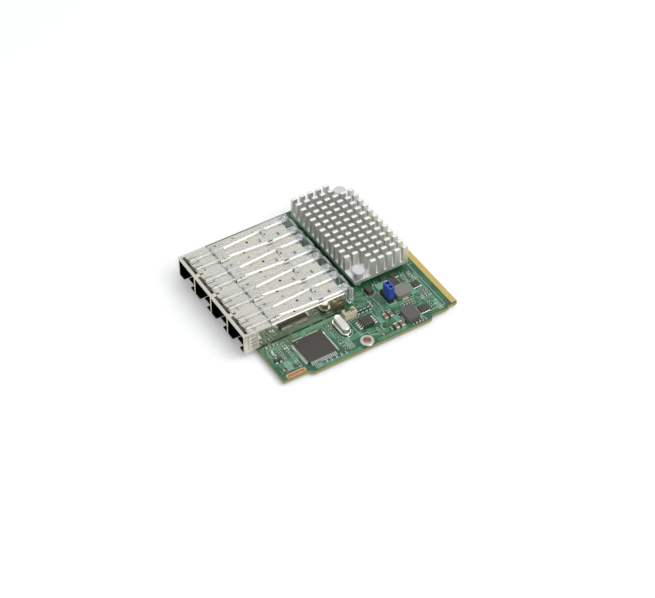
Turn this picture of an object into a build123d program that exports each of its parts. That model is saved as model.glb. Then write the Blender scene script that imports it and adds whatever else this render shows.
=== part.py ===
from build123d import *
import os
from math import cos, hypot, pi, sin

# Mezzanine network card, in millimetres.
# X runs along the row of ports, Y from the ports to the edge contacts, Z up.
# The origin is under the middle of the card, on the surface that it rests on.

# Circuit board
BOARD_THICKNESS = 1.57
UNDERSIDE = 1.6            # reach of tails, pin tips and header pins below the board
LEFT_MARGIN = 10.1         # board to the left of the cage
RIGHT_ZONE = 24.05         # board to the right of the cage
REAR_MARGIN = 6.7          # board behind the heat sink
NECK_STEP = 2.05           # the right edge stands back this far near the ports
NECK_GAP = 1.2             # from the end of the neck to the flat pack's leads
SHOULDER_STEP = 1.75       # the right edge stands back this far near the contacts
SHOULDER_LENGTH = 14.2
SHOULDER_CHAMFER = 1.2

# Tongue with edge contacts
TONGUE_LENGTH = 5.6
TONGUE_INSET = 2.7         # from the board's right edge
TONGUE_CHAMFER = 0.8
TONGUE_BEVEL = 0.35
CONTACT_PITCH = 1.0
CONTACT_WIDTH = 0.8
CONTACT_LENGTH = 2.6
CONTACT_THICKNESS = 0.05
RIGHT_BANK_CONTACTS = 38   # to the right of the key
LEFT_BANK_CONTACTS = 11    # to the left of the key
BANK_MARGIN = 0.6          # board beside the outer contacts of a bank
KEY_WIDTH = 1.9
KEY_DEPTH = 5.0

# Module cage
PORT_COUNT = 4
PORT_PITCH = 14.25
SHEET = 0.25
CAGE_LENGTH = 50.0
CAGE_HEIGHT = 9.7
CAGE_STANDOFF = 0.5        # floor above the board
CAGE_OVERHANG = 6.1        # cage in front of the board
BEND_RADIUS = 0.45
VENT_DIAMETER = 1.1
HOLE_SIDES = 6             # flats of a small hole or shaft
ROUND_SIDES = 24           # facets of a round head or flange
VENT_PAIRS = ((33.0, 4.7), (23.9, 4.9), (14.5, 3.2), (5.3, 3.4))  # from the rear, from the port's middle
VENT_SINGLES = (19.5, 10.6)  # from the rear
TAIL_STATIONS = (12.0, 22.7, 33.0, 39.7)
TAIL_WIDTH = 0.8
TAIL_SHOULDER = 1.8
TAIL_CLEARANCE = 0.06
FLOOR_OPEN = 14.0          # open behind the floor, under the sockets
SLOT_CLEARANCE = 0.1
LATCH_NOTCH_WIDTH = 6.0
LATCH_NOTCH_DEPTH = 1.8
LATCH_TONGUE_LENGTH = 10.0
LATCH_SLIT = 0.7
LATCH_HOLE = 2.4

# Spring collar round the cage's mouth
COLLAR_SHEET = 0.2
COLLAR_TOP_LENGTH = 13.6
COLLAR_SIDE_LENGTH = 8.2
COLLAR_BOTTOM_LENGTH = 5.6
RIM = 1.2                  # plain strip along the mouth
SPRING_WINDOW = 5.4        # opening that a row of fingers stands in
SPRING_GAP = 1.4           # open slot between the rim and the tips of the top fingers
SIDE_WINDOW = 4.6          # opening that a row of side fingers stands in
SIDE_GAP = 0.3             # open slot between the window's edge and the tips of the side fingers
BOTTOM_GAP = 0.4           # open slot between the rim and the tips of the bottom fingers
SPRING_ROOT = 0.4          # finger let into the sheet behind the window
SPRING_BOW = 0.3
SPRING_RAMP = 1.1          # sloping run at each end of a finger's bow
FINGER_SLIT = 0.35
FINGERS_PER_SIDE = 4
BOTTOM_WINDOW = 3.6        # opening that a bottom finger stands in
BOTTOM_FINGER_WIDTH = 2.3
BOTTOM_FINGER_SPREAD = 4.8  # bottom finger from the port's middle
PORT_FRAME = 0.35          # collar's border inside each port mouth
CORNER_STRIP = 1.0         # sheet left between windows at dividers and corners

# Sockets at the back of the ports
SOCKET_WIDTH = 12.2
SOCKET_REAR_GAP = 3.0      # from the cage's rear
SOCKET_DEPTH = 9.6
SOCKET_HEIGHT = 6.4
SOCKET_NOSE = 5.6
SOCKET_NOSE_LIFT = 1.7
SOCKET_CORNER = 0.85
SLOT_WIDTH = 9.6
SLOT_HEIGHT = 1.5
SLOT_DEPTH = 6.0
SLOT_LEVEL = 3.7           # middle of the slot above the board
SOCKET_CONTACTS = 10
SOCKET_CONTACT_PITCH = 0.8
SOCKET_CONTACT_WIDTH = 0.4
SOCKET_CONTACT_HEIGHT = 0.3
SOCKET_CONTACT_INSET = 0.4

# Clear light guides on the cage
GUIDE_WIDTH = 3.0
GUIDE_THICKNESS = 1.6
GUIDE_FRONT_SPREAD = 2.9   # bar from the port's middle, at the mouth
GUIDE_REAR_SPREAD = 4.3    # bar from the port's middle, at the back
GUIDE_FRONT = 2.2
GUIDE_NOSE = 0.7           # cut corners at the front ends of the bars
GUIDE_SLANT_START = 19.5
GUIDE_SLANT_END = 40.0
GUIDE_WEB_START = 14.4
GUIDE_WEB_HALF_WIDTH = 5.2
GUIDE_WEB_THICKNESS = 1.0
GUIDE_RIB_LENGTH = 2.4
GUIDE_CLEARANCE = 0.05
GUIDE_LEG_OUT = 5.0        # rear face of the legs behind the cage
GUIDE_BEND = 3.2
LAMP_SIZE = (1.6, 0.9, 0.7)

# Pin-fin heat sink
GUIDE_BAY = 10.5           # from the cage's rear wall to the heat sink
SINK_OFFSET = -6.55        # middle of the heat sink from the middle of the cage
FIN_COUNT = 14
FIN_PITCH = 4.015
FIN_THICKNESS = 1.55
PIN_ROWS = 7
PIN_PITCH = 4.19
PIN_LENGTH = 2.65
SINK_BASE = 2.0
SINK_HEIGHT = 10.2
CLEARED_PINS = 2           # pins left out each way at the two fixing corners

# Network controller and thermal pad
CONTROLLER_SIZE = 25.0
CONTROLLER_BASE = 1.0
LID_SIZE = 20.0
LID_HEIGHT = 1.2
PAD_SIZE = 18.0
PAD_THICKNESS = 0.3

# Push pins
PUSH_HEAD_DIAMETER = 6.0
PUSH_HEAD_HEIGHT = 1.3
PUSH_HEAD_BEVEL = 0.4
PUSH_HEAD_LEVEL = 3.1      # underside of the head above the heat sink's base
PUSH_SHAFT_DIAMETER = 2.4
PUSH_CLEARANCE = 0.15
PUSH_BARB = 0.45
PUSH_TIP_DIAMETER = 1.2
COIL_DIAMETER = 3.9
COIL_WIRE = 0.5
COIL_TURNS = 2.5
COIL_SIDES = 10            # straight runs in a turn
COIL_CLEARANCE = 0.06

# Square flat-pack chip
FLAT_PACK_SIZE = 14.0
FLAT_PACK_HEIGHT = 1.4
FLAT_PACK_STANDOFF = 0.1
FLAT_PACK_BEVEL = 0.25
FLAT_PACK_LEADS = 16       # on each side
FLAT_PACK_PITCH = 0.8
FLAT_PACK_LEAD_WIDTH = 0.37
LEAD_THICKNESS = 0.15
LEAD_REACH = 1.0
LEAD_FOOT = 0.5

# Memory chip
MEMORY_SIZE = (5.3, 5.3)
MEMORY_HEIGHT = 1.8
MEMORY_LEADS = 4           # on each of two sides
MEMORY_PITCH = 1.27
MEMORY_LEAD_WIDTH = 0.42
MEMORY_LEAD_REACH = 1.3

# Crystal
CRYSTAL_LENGTH = 10.2
CRYSTAL_WIDTH = 3.8
CRYSTAL_HEIGHT = 3.0
CRYSTAL_FLANGE = 0.45
CRYSTAL_FLANGE_HEIGHT = 0.45
CRYSTAL_SEAT_HEIGHT = 0.7
CRYSTAL_SEAT = (10.8, 4.4)
CRYSTAL_BEVEL = 0.5
CRYSTAL_FOOT = (2.2, 0.9, 0.25)
CRYSTAL_FEET_SPAN = 12.6   # over both feet

# Wire header
HEADER_SIZE = (3.2, 6.0, 3.9)
HEADER_WALL = 0.55
HEADER_FLOOR = 0.9
HEADER_WAYS = 4
HEADER_PITCH = 1.25
HEADER_PIN = 0.4
HEADER_PIN_TOP = 3.1
HEADER_FOOT = 1.1
HEADER_CLEARANCE = 0.05

# Jumper
JUMPER_WAYS = 3
JUMPER_PITCH = 2.54
JUMPER_BASE_HEIGHT = 2.5
JUMPER_BASE_DEPTH = 2.5
JUMPER_PIN = 0.64
JUMPER_PIN_RISE = 5.4      # above the base
JUMPER_CLEARANCE = 0.06
JUMPER_NOTCH = 0.3         # depth of the notch between two ways
CAP_WAYS = 2
CAP_HEIGHT = 6.5
CAP_DEPTH = 3.1
CAP_WELL = 1.5
CAP_BEVEL = 0.3

# Inductors
INDUCTOR_WIDTH = 6.6       # between the terminals
INDUCTOR_LENGTH = 7.2      # along the terminals
INDUCTOR_HEIGHT = 3.0
INDUCTOR_CHAMFER = 0.7
TERMINAL_WIDTH = 3.2
TERMINAL_HEIGHT = 1.4
TERMINAL_THICKNESS = 0.25
TERMINAL_FOOT = 0.8

# Small packages: length, width, height
REGULATOR_A_SIZE = (4.0, 4.0, 0.9)
REGULATOR_B_SIZE = (3.2, 3.5, 0.9)
REGULATOR_C_SIZE = (4.2, 3.6, 0.9)
REGULATOR_BEVEL = 0.12
LEADLESS_SIZES = [(2.6, 3.4, 0.85), (2.2, 2.2, 0.85)]
DIODE_SIZE = (4.2, 2.6, 2.1)
DIODE_BEVEL = 0.3
TRANSISTOR_SIZE = (1.3, 2.9, 1.0)
TRANSISTOR_LEAD = (0.6, 0.45, 0.3)
TRANSISTOR_PITCH = 1.9
LARGE_CAPACITOR = (3.2, 1.7, 1.5)
SMALL_CAPACITOR = (1.6, 0.8, 0.8)
RESISTOR = (2.0, 1.25, 0.6)
END_CAP_LARGE = 0.55
END_CAP_SMALL = 0.35
END_CAP_RESISTOR = 0.4

# Mounting bush
BUSH_BORE = 3.2
BUSH_BARREL = 4.4
BUSH_FLANGE = 6.4
BUSH_RISE = 0.8
BUSH_BEVEL = 0.3
BUSH_CLEARANCE = 0.05

# Test strip on the neck
STRIP_WIDTH = 2.6
STRIP_THICKNESS = 0.05
STRIP_START = 2.3          # behind the board's front edge
STRIP_END = 0.4            # in front of the end of the neck
STRIP_INSET = 0.15
STRIP_CORNER = 0.6

# The flat pack is placed from the cage's right wall, and behind the middle of the room
# between the board's front edge and the crystal
FLAT_PACK_PLACE = (12.3, 3.85)
# The transistor is placed from the cage's right wall and behind the board's front edge
TRANSISTOR_PLACE = (10.4, 4.0)
# Places: from the cage's right wall and behind the cage's rear wall
CRYSTAL_PLACE = (8.6, -6.9)
HEADER_PLACE = (4.5, -0.4)
MEMORY_PLACE = (11.3, 4.0)
RESISTOR_PLACE = (4.9, 3.8)
RESISTOR_PITCH = 1.95
RESISTOR_COUNT = 4
# Places: from the cage's right wall and in front of the contact edge
JUMPER_PLACE = (3.3, 25.2)
INDUCTOR_1_PLACE = (4.5, 18.6)
REGULATOR_B_PLACE = (2.9, 10.0)
REGULATOR_C_PLACE = (-2.8, 17.4)
LEADLESS_PLACES = [(-6.9, 15.3), (-7.0, 20.5)]
CAPACITOR_A_PLACE = (13.3, 31.2)
COLUMN_PLACE = (10.9, 21.5)
COLUMN_PITCH = 1.35
COLUMN_COUNT = 4
# Places: from the board's right edge and in front of the contact edge
INDUCTOR_2_PLACE = (6.05, 22.9)
REGULATOR_A_PLACE = (6.85, 15.6)
CAPACITOR_B_PLACE = (3.4, 30.2)
SMALL_CAPACITOR_PLACE = (3.8, 34.0)
CAPACITOR_PAIR_PITCH = 2.7
# The bush is placed from the board's right edge and the cage's rear wall
BUSH_PLACE = (3.25, -1.7)
# The diode is placed from the heat sink's right side and the contact edge
DIODE_PLACE = (2.2, 30.0)

# Levels
BOARD_BOTTOM = UNDERSIDE
BOARD_TOP = BOARD_BOTTOM + BOARD_THICKNESS
CAGE_BOTTOM = BOARD_TOP + CAGE_STANDOFF
CAGE_TOP = CAGE_BOTTOM + CAGE_HEIGHT
FLOOR_TOP = CAGE_BOTTOM + SHEET
COVER_UNDERSIDE = CAGE_TOP - SHEET
SINK_BOTTOM = BOARD_TOP + CONTROLLER_BASE + LID_HEIGHT + PAD_THICKNESS
SINK_BASE_TOP = SINK_BOTTOM + SINK_BASE
SINK_TOP = SINK_BOTTOM + SINK_HEIGHT
PUSH_HEAD_BOTTOM = SINK_BASE_TOP + PUSH_HEAD_LEVEL
LAMP_TOP = BOARD_TOP + LAMP_SIZE[2]

# Lines across the card
CAGE_WIDTH = PORT_COUNT * PORT_PITCH + SHEET
SINK_WIDTH = (FIN_COUNT - 1) * FIN_PITCH + FIN_THICKNESS
SINK_DEPTH = (PIN_ROWS - 1) * PIN_PITCH + PIN_LENGTH
BOARD_WIDTH = LEFT_MARGIN + CAGE_WIDTH + RIGHT_ZONE
CARD_LENGTH = CAGE_LENGTH + GUIDE_BAY + SINK_DEPTH + REAR_MARGIN
BOARD_LEFT = -BOARD_WIDTH / 2
BOARD_RIGHT = BOARD_WIDTH / 2
NECK_RIGHT = BOARD_RIGHT - NECK_STEP
CAGE_LEFT = BOARD_LEFT + LEFT_MARGIN
CAGE_RIGHT = CAGE_LEFT + CAGE_WIDTH
CAGE_MIDDLE = (CAGE_LEFT + CAGE_RIGHT) / 2
CAGE_FRONT = -CARD_LENGTH / 2
CAGE_REAR = CAGE_FRONT + CAGE_LENGTH
COVER_FRONT = CAGE_FRONT + COLLAR_SHEET
BOARD_FRONT = CAGE_FRONT + CAGE_OVERHANG
BOARD_REAR = CARD_LENGTH / 2
SOCKET_REAR = CAGE_REAR - SOCKET_REAR_GAP
SOCKET_FRONT = SOCKET_REAR - SOCKET_DEPTH
SINK_LEFT = CAGE_MIDDLE + SINK_OFFSET - SINK_WIDTH / 2
SINK_RIGHT = SINK_LEFT + SINK_WIDTH
SINK_FRONT = CAGE_REAR + GUIDE_BAY
SINK_REAR = SINK_FRONT + SINK_DEPTH
SINK_CENTRE = ((SINK_LEFT + SINK_RIGHT) / 2, (SINK_FRONT + SINK_REAR) / 2)
TONGUE_RIGHT = BOARD_RIGHT - TONGUE_INSET


def block(width, depth, height, x, y, z):
    """A box with its middle over x, y and its underside at z."""
    return Pos(x, y, z + height / 2) * Box(width, depth, height)


def span(x0, x1, y0, y1, z0, z1):
    """A box between two corners."""
    return Pos((x0 + x1) / 2, (y0 + y1) / 2, (z0 + z1) / 2) * Box(x1 - x0, y1 - y0, z1 - z0)


def rod(diameter, x, y, z0, z1):
    """A round upright bar, or a hole's core."""
    return Pos(x, y, (z0 + z1) / 2) * Cylinder(diameter / 2, z1 - z0)


def drill(diameter, x, y, z0, z1):
    """A six-sided bar, or the core of a small hole, with flats that touch the round one."""
    core = extrude(RegularPolygon(diameter / 2, HOLE_SIDES, major_radius=False), amount=z1 - z0)
    return Pos(x, y, z0) * core


def side_profile(points, width, x):
    """A closed outline of (y, z) points, extruded along X about x."""
    face = make_face(Polyline(*[(x - width / 2, y, z) for y, z in points], close=True))
    return extrude(face, amount=width, dir=(1, 0, 0))


def upright(points, z0, z1):
    """A closed outline of (x, y) points, extruded from z0 up to z1."""
    face = make_face(Polyline(*[(x, y, z0) for x, y in points], close=True))
    return extrude(face, amount=z1 - z0, dir=(0, 0, 1))


def centred(count, pitch):
    """Distances of evenly spaced copies from the middle of their row."""
    return [(index - (count - 1) / 2) * pitch for index in range(count)]


def from_cage_rear(place):
    """A place beside the cage's rear corner."""
    return CAGE_RIGHT + place[0], CAGE_REAR + place[1]


def from_contacts(place):
    """A place in line with the cage's right wall, in front of the contact edge."""
    return CAGE_RIGHT + place[0], BOARD_REAR - place[1]


def from_edge(place):
    """A place inside the board's right edge, in front of the contact edge."""
    return BOARD_RIGHT - place[0], BOARD_REAR - place[1]


def fin_line(index):
    """X of a fin's middle."""
    return SINK_LEFT + FIN_THICKNESS / 2 + index * FIN_PITCH


def pin_line(index):
    """Y of a pin row's middle."""
    return SINK_FRONT + PIN_LENGTH / 2 + index * PIN_PITCH


PORT_MIDDLES = [CAGE_MIDDLE + across for across in centred(PORT_COUNT, PORT_PITCH)]
DIVIDER_LINES = [middle + PORT_PITCH / 2 for middle in PORT_MIDDLES[:-1]]
WALL_LINES = [CAGE_LEFT + SHEET / 2, CAGE_RIGHT - SHEET / 2]
PUSH_PLACES = [
    (fin_line(FIN_COUNT - (CLEARED_PINS + 1) / 2), pin_line((CLEARED_PINS - 1) / 2)),
    (fin_line((CLEARED_PINS - 1) / 2), pin_line(PIN_ROWS - (CLEARED_PINS + 1) / 2)),
]
CRYSTAL_SPOT = from_cage_rear(CRYSTAL_PLACE)
FLAT_PACK_ROOM = (BOARD_FRONT + CRYSTAL_SPOT[1] - CRYSTAL_SEAT[1] / 2) / 2
FLAT_PACK_SPOT = (CAGE_RIGHT + FLAT_PACK_PLACE[0], FLAT_PACK_ROOM + FLAT_PACK_PLACE[1])
NECK_END = FLAT_PACK_SPOT[1] - FLAT_PACK_SIZE / 2 - LEAD_REACH - NECK_GAP
TRANSISTOR_SPOT = (CAGE_RIGHT + TRANSISTOR_PLACE[0], BOARD_FRONT + TRANSISTOR_PLACE[1])
BUSH_SPOT = (BOARD_RIGHT - BUSH_PLACE[0], CAGE_REAR + BUSH_PLACE[1])
JUMPER_SPOT = from_contacts(JUMPER_PLACE)
JUMPER_LINES = [JUMPER_SPOT[0] + across for across in centred(JUMPER_WAYS, JUMPER_PITCH)]
TAIL_HOLE = hypot(TAIL_WIDTH, SHEET) + 2 * TAIL_CLEARANCE
PUSH_HOLE = PUSH_SHAFT_DIAMETER + 2 * PUSH_CLEARANCE
RIGHT_BANK_WIDTH = RIGHT_BANK_CONTACTS * CONTACT_PITCH + 2 * BANK_MARGIN
LEFT_BANK_WIDTH = LEFT_BANK_CONTACTS * CONTACT_PITCH + 2 * BANK_MARGIN
KEY_RIGHT = TONGUE_RIGHT - RIGHT_BANK_WIDTH
KEY_LEFT = KEY_RIGHT - KEY_WIDTH
TONGUE_LEFT = KEY_LEFT - LEFT_BANK_WIDTH


def circuit_board():
    """Stepped outline with a keyed tongue, drilled for everything that passes through."""
    shoulder_right = BOARD_RIGHT - SHOULDER_STEP
    tongue_root = BOARD_REAR - TONGUE_LENGTH
    key_root = BOARD_REAR - KEY_DEPTH
    outline = [
        (BOARD_LEFT, BOARD_FRONT),
        (NECK_RIGHT, BOARD_FRONT),
        (NECK_RIGHT, NECK_END),
        (BOARD_RIGHT, NECK_END + NECK_STEP),
        (BOARD_RIGHT, BOARD_REAR - SHOULDER_LENGTH - SHOULDER_CHAMFER),
        (shoulder_right, BOARD_REAR - SHOULDER_LENGTH),
        (shoulder_right, tongue_root),
        (TONGUE_RIGHT, tongue_root),
        (TONGUE_RIGHT, BOARD_REAR - TONGUE_CHAMFER),
        (TONGUE_RIGHT - TONGUE_CHAMFER, BOARD_REAR),
        (KEY_RIGHT, BOARD_REAR),
        (KEY_RIGHT, key_root),
        (KEY_LEFT, key_root),
        (KEY_LEFT, BOARD_REAR),
        (TONGUE_LEFT + TONGUE_CHAMFER, BOARD_REAR),
        (TONGUE_LEFT, BOARD_REAR - TONGUE_CHAMFER),
        (TONGUE_LEFT, tongue_root),
        (BOARD_LEFT, tongue_root),
    ]
    board = upright(outline, BOARD_BOTTOM, BOARD_TOP)
    rear_edges = board.edges().filter_by(Axis.X).group_by(Axis.Y)[-1]
    board = chamfer(rear_edges, TONGUE_BEVEL)
    holes = [(x, CAGE_FRONT + y, TAIL_HOLE) for x in WALL_LINES + DIVIDER_LINES for y in TAIL_STATIONS]
    holes += [(x, y, PUSH_HOLE) for x, y in PUSH_PLACES]
    holes.append((*BUSH_SPOT, BUSH_BARREL + 2 * BUSH_CLEARANCE))
    jumper_hole = JUMPER_PIN * 2 ** 0.5 + 2 * JUMPER_CLEARANCE
    holes += [(x, JUMPER_SPOT[1], jumper_hole) for x in JUMPER_LINES]
    above = BOARD_TOP + BOARD_BOTTOM
    cuts = [drill(size, x, y, 0, above) for x, y, size in holes]
    return board - cuts


def edge_contacts(z):
    """One face's gold contacts, in two banks beside the key."""
    contacts = []
    for right, count in ((TONGUE_RIGHT, RIGHT_BANK_CONTACTS), (KEY_LEFT, LEFT_BANK_CONTACTS)):
        for index in range(count):
            x = right - BANK_MARGIN - (index + 0.5) * CONTACT_PITCH
            y = BOARD_REAR - TONGUE_BEVEL - CONTACT_LENGTH / 2
            contacts.append(block(CONTACT_WIDTH, CONTACT_LENGTH, CONTACT_THICKNESS, x, y, z))
    return contacts


def wall_tails(x):
    """Shouldered press-fit tails under a wall's lower edge."""
    tails = []
    for station in TAIL_STATIONS:
        y = CAGE_FRONT + station
        tails.append(block(SHEET, TAIL_SHOULDER, CAGE_STANDOFF, x, y, BOARD_TOP))
        tails.append(block(SHEET, TAIL_WIDTH, BOARD_TOP, x, y, 0))
    return tails


def cage_cover():
    """Folded sheet: top, side walls and rear wall, with vents and tails."""
    cover = span(CAGE_LEFT, CAGE_RIGHT, COVER_FRONT, CAGE_REAR, CAGE_BOTTOM, CAGE_TOP)
    long_edges = cover.edges().filter_by(Axis.Y).group_by(Axis.Z)[-1]
    cover = fillet(long_edges, BEND_RADIUS)
    cover -= span(CAGE_LEFT + SHEET, CAGE_RIGHT - SHEET, COVER_FRONT, CAGE_REAR - SHEET,
                  CAGE_BOTTOM, COVER_UNDERSIDE)
    cover += [tail for x in WALL_LINES for tail in wall_tails(x)]
    cuts = []
    for middle in PORT_MIDDLES:
        vents = [(middle, station) for station in VENT_SINGLES]
        vents += [(middle + side * spread, station) for station, spread in VENT_PAIRS for side in (-1, 1)]
        for x, station in vents:
            y = CAGE_REAR - station
            cuts.append(drill(VENT_DIAMETER, x, y, COVER_UNDERSIDE - SHEET, CAGE_TOP + SHEET))
    return cover - cuts


def top_window(middle):
    """Opening in the collar over one port, where its spring fingers stand."""
    half = PORT_PITCH / 2 - CORNER_STRIP
    start = CAGE_FRONT + RIM
    return span(middle - half, middle + half, start, start + SPRING_WINDOW, CAGE_TOP, CAGE_TOP + COLLAR_SHEET)


def side_window(x0, x1):
    """Opening in the collar at one side, where its spring fingers stand."""
    end = CAGE_FRONT + RIM + SPRING_WINDOW
    return span(x0, x1, end - SIDE_WINDOW, end, CAGE_BOTTOM + CORNER_STRIP, CAGE_TOP - CORNER_STRIP)


def cage_floor():
    """Floor with slots for the dividers' tails, and a notch and latch tongue in each port."""
    floor = span(CAGE_LEFT + SHEET, CAGE_RIGHT - SHEET, COVER_FRONT, CAGE_REAR - FLOOR_OPEN,
                 CAGE_BOTTOM, FLOOR_TOP)
    above = FLOOR_TOP + SHEET
    cuts = []
    for x in DIVIDER_LINES:
        for station in TAIL_STATIONS:
            slot = SHEET + 2 * SLOT_CLEARANCE
            cuts.append(block(slot, TAIL_SHOULDER + 2 * SLOT_CLEARANCE, above, x, CAGE_FRONT + station, 0))
    for middle in PORT_MIDDLES:
        half = LATCH_NOTCH_WIDTH / 2
        notch_end = COVER_FRONT + LATCH_NOTCH_DEPTH
        cuts.append(span(middle - half, middle + half, CAGE_FRONT, notch_end, 0, above))
        for side in (-1, 1):
            slit_x = middle + side * (half - LATCH_SLIT / 2)
            cuts.append(block(LATCH_SLIT, 2 * LATCH_TONGUE_LENGTH, above, slit_x, notch_end, 0))
        latch_y = notch_end + LATCH_TONGUE_LENGTH / 2
        corners = [(middle - LATCH_HOLE / 2, latch_y), (middle + LATCH_HOLE / 2, latch_y),
                   (middle, latch_y - LATCH_HOLE)]
        cuts.append(upright(corners, 0, above))
    return floor - cuts


def cage_divider(x):
    """Upright sheet between two ports, standing on the floor, with tails through it."""
    wall = block(SHEET, CAGE_REAR - SHEET - COVER_FRONT, COVER_UNDERSIDE - FLOOR_TOP,
                 x, (CAGE_REAR - SHEET + COVER_FRONT) / 2, FLOOR_TOP)
    feet = []
    for station in TAIL_STATIONS:
        y = CAGE_FRONT + station
        feet.append(block(SHEET, TAIL_SHOULDER, FLOOR_TOP - BOARD_TOP, x, y, BOARD_TOP))
        feet.append(block(SHEET, TAIL_WIDTH, BOARD_TOP, x, y, 0))
    return wall + feet


def spring_finger(width, length):
    """One bowed finger: root at the origin, tip towards -Y, bow towards +Z."""
    tip = -length
    inner = [(SPRING_ROOT, 0), (-SPRING_RAMP, SPRING_BOW), (tip + SPRING_RAMP, SPRING_BOW), (tip, 0)]
    outer = [(y, z + COLLAR_SHEET) for y, z in reversed(inner)]
    return side_profile(inner + outer, width, 0)


def finger_row(across, length):
    """Fingers side by side along X over a window that wide, in their middle."""
    pitch = across / FINGERS_PER_SIDE
    width = pitch - FINGER_SLIT
    finger = spring_finger(width, length)
    return [Pos(x, 0, 0) * finger for x in centred(FINGERS_PER_SIDE, pitch)]


def spring_collar():
    """Sheet wrapped over the cage's mouth: front frame, top, sides and bowed fingers."""
    left = CAGE_LEFT - COLLAR_SHEET
    right = CAGE_RIGHT + COLLAR_SHEET
    top = CAGE_TOP + COLLAR_SHEET
    bottom = CAGE_BOTTOM - COLLAR_SHEET
    collar = span(left, right, CAGE_FRONT, CAGE_FRONT + COLLAR_TOP_LENGTH, CAGE_TOP, top)
    side_end = CAGE_FRONT + COLLAR_SIDE_LENGTH
    collar += span(left, CAGE_LEFT, CAGE_FRONT, side_end, CAGE_BOTTOM, top)
    collar += span(CAGE_RIGHT, right, CAGE_FRONT, side_end, CAGE_BOTTOM, top)
    bottom_end = CAGE_FRONT + COLLAR_BOTTOM_LENGTH
    collar += span(left, right, CAGE_FRONT, bottom_end, bottom, CAGE_BOTTOM)
    collar += span(left, right, CAGE_FRONT, COVER_FRONT, bottom, top)
    mouth_half = (PORT_PITCH - SHEET) / 2 - PORT_FRAME
    cuts = [span(middle - mouth_half, middle + mouth_half, CAGE_FRONT - SHEET, COVER_FRONT,
                 CAGE_BOTTOM, COVER_UNDERSIDE - PORT_FRAME) for middle in PORT_MIDDLES]
    cuts += [top_window(middle) for middle in PORT_MIDDLES]
    cuts.append(side_window(left, CAGE_LEFT))
    cuts.append(side_window(CAGE_RIGHT, right))
    latch_half = LATCH_NOTCH_WIDTH / 2
    window_start = CAGE_FRONT + RIM
    window_end = window_start + BOTTOM_WINDOW
    window_half = BOTTOM_FINGER_WIDTH / 2 + FINGER_SLIT
    bottom_lines = [middle + side * BOTTOM_FINGER_SPREAD for middle in PORT_MIDDLES for side in (-1, 1)]
    for x in PORT_MIDDLES:
        cuts.append(span(x - latch_half, x + latch_half, CAGE_FRONT, bottom_end, bottom, CAGE_BOTTOM))
    for x in bottom_lines:
        cuts.append(span(x - window_half, x + window_half, window_start, window_end, bottom, CAGE_BOTTOM))
    collar -= cuts
    root_y = CAGE_FRONT + RIM + SPRING_WINDOW
    fingers = []
    for middle in PORT_MIDDLES:
        row = finger_row(PORT_PITCH - 2 * CORNER_STRIP, SPRING_WINDOW - SPRING_GAP)
        fingers += [Pos(middle, root_y, CAGE_TOP) * finger for finger in row]
    side_middle = (CAGE_BOTTOM + CAGE_TOP) / 2
    for x, turn in ((CAGE_LEFT, -90), (CAGE_RIGHT, 90)):
        row = finger_row(CAGE_HEIGHT - 2 * CORNER_STRIP, SIDE_WINDOW - SIDE_GAP)
        fingers += [Pos(x, root_y, side_middle) * Rot(0, turn, 0) * finger for finger in row]
    bottom_finger = spring_finger(BOTTOM_FINGER_WIDTH, BOTTOM_WINDOW - BOTTOM_GAP)
    fingers += [Pos(x, window_end, CAGE_BOTTOM) * Rot(0, 180, 0) * bottom_finger for x in bottom_lines]
    return collar + fingers


def module_socket(middle):
    """Moulded socket with a raised nose and a slot for a module's edge card."""
    front = SOCKET_FRONT
    rear = SOCKET_REAR
    heel = front + SOCKET_NOSE
    top = BOARD_TOP + SOCKET_HEIGHT
    nose = BOARD_TOP + SOCKET_NOSE_LIFT
    shoulder = top - SOCKET_CORNER
    outline = [(front, nose), (heel, nose), (heel, BOARD_TOP), (rear, BOARD_TOP), (rear, shoulder),
               (rear - SOCKET_CORNER, top), (front + SOCKET_CORNER, top), (front, shoulder)]
    body = side_profile(outline, SOCKET_WIDTH, middle)
    level = BOARD_TOP + SLOT_LEVEL
    return body - span(middle - SLOT_WIDTH / 2, middle + SLOT_WIDTH / 2, front, front + SLOT_DEPTH,
                       level - SLOT_HEIGHT / 2, level + SLOT_HEIGHT / 2)


def socket_contacts():
    """Two facing rows of bowed contacts in each socket's slot."""
    level = BOARD_TOP + SLOT_LEVEL
    front = SOCKET_FRONT + SOCKET_CONTACT_INSET
    rear = SOCKET_FRONT + SLOT_DEPTH - SOCKET_CONTACT_INSET
    contacts = []
    for side in (-1, 1):
        wall = level + side * SLOT_HEIGHT / 2
        bow = wall - side * SOCKET_CONTACT_HEIGHT
        outline = [(front, wall), ((front + rear) / 2, bow), (rear, wall)]
        contact = side_profile(outline, SOCKET_CONTACT_WIDTH, 0)
        for middle in PORT_MIDDLES:
            for across in centred(SOCKET_CONTACTS, SOCKET_CONTACT_PITCH):
                contacts.append(Pos(middle + across, 0, 0) * contact)
    return contacts


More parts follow.
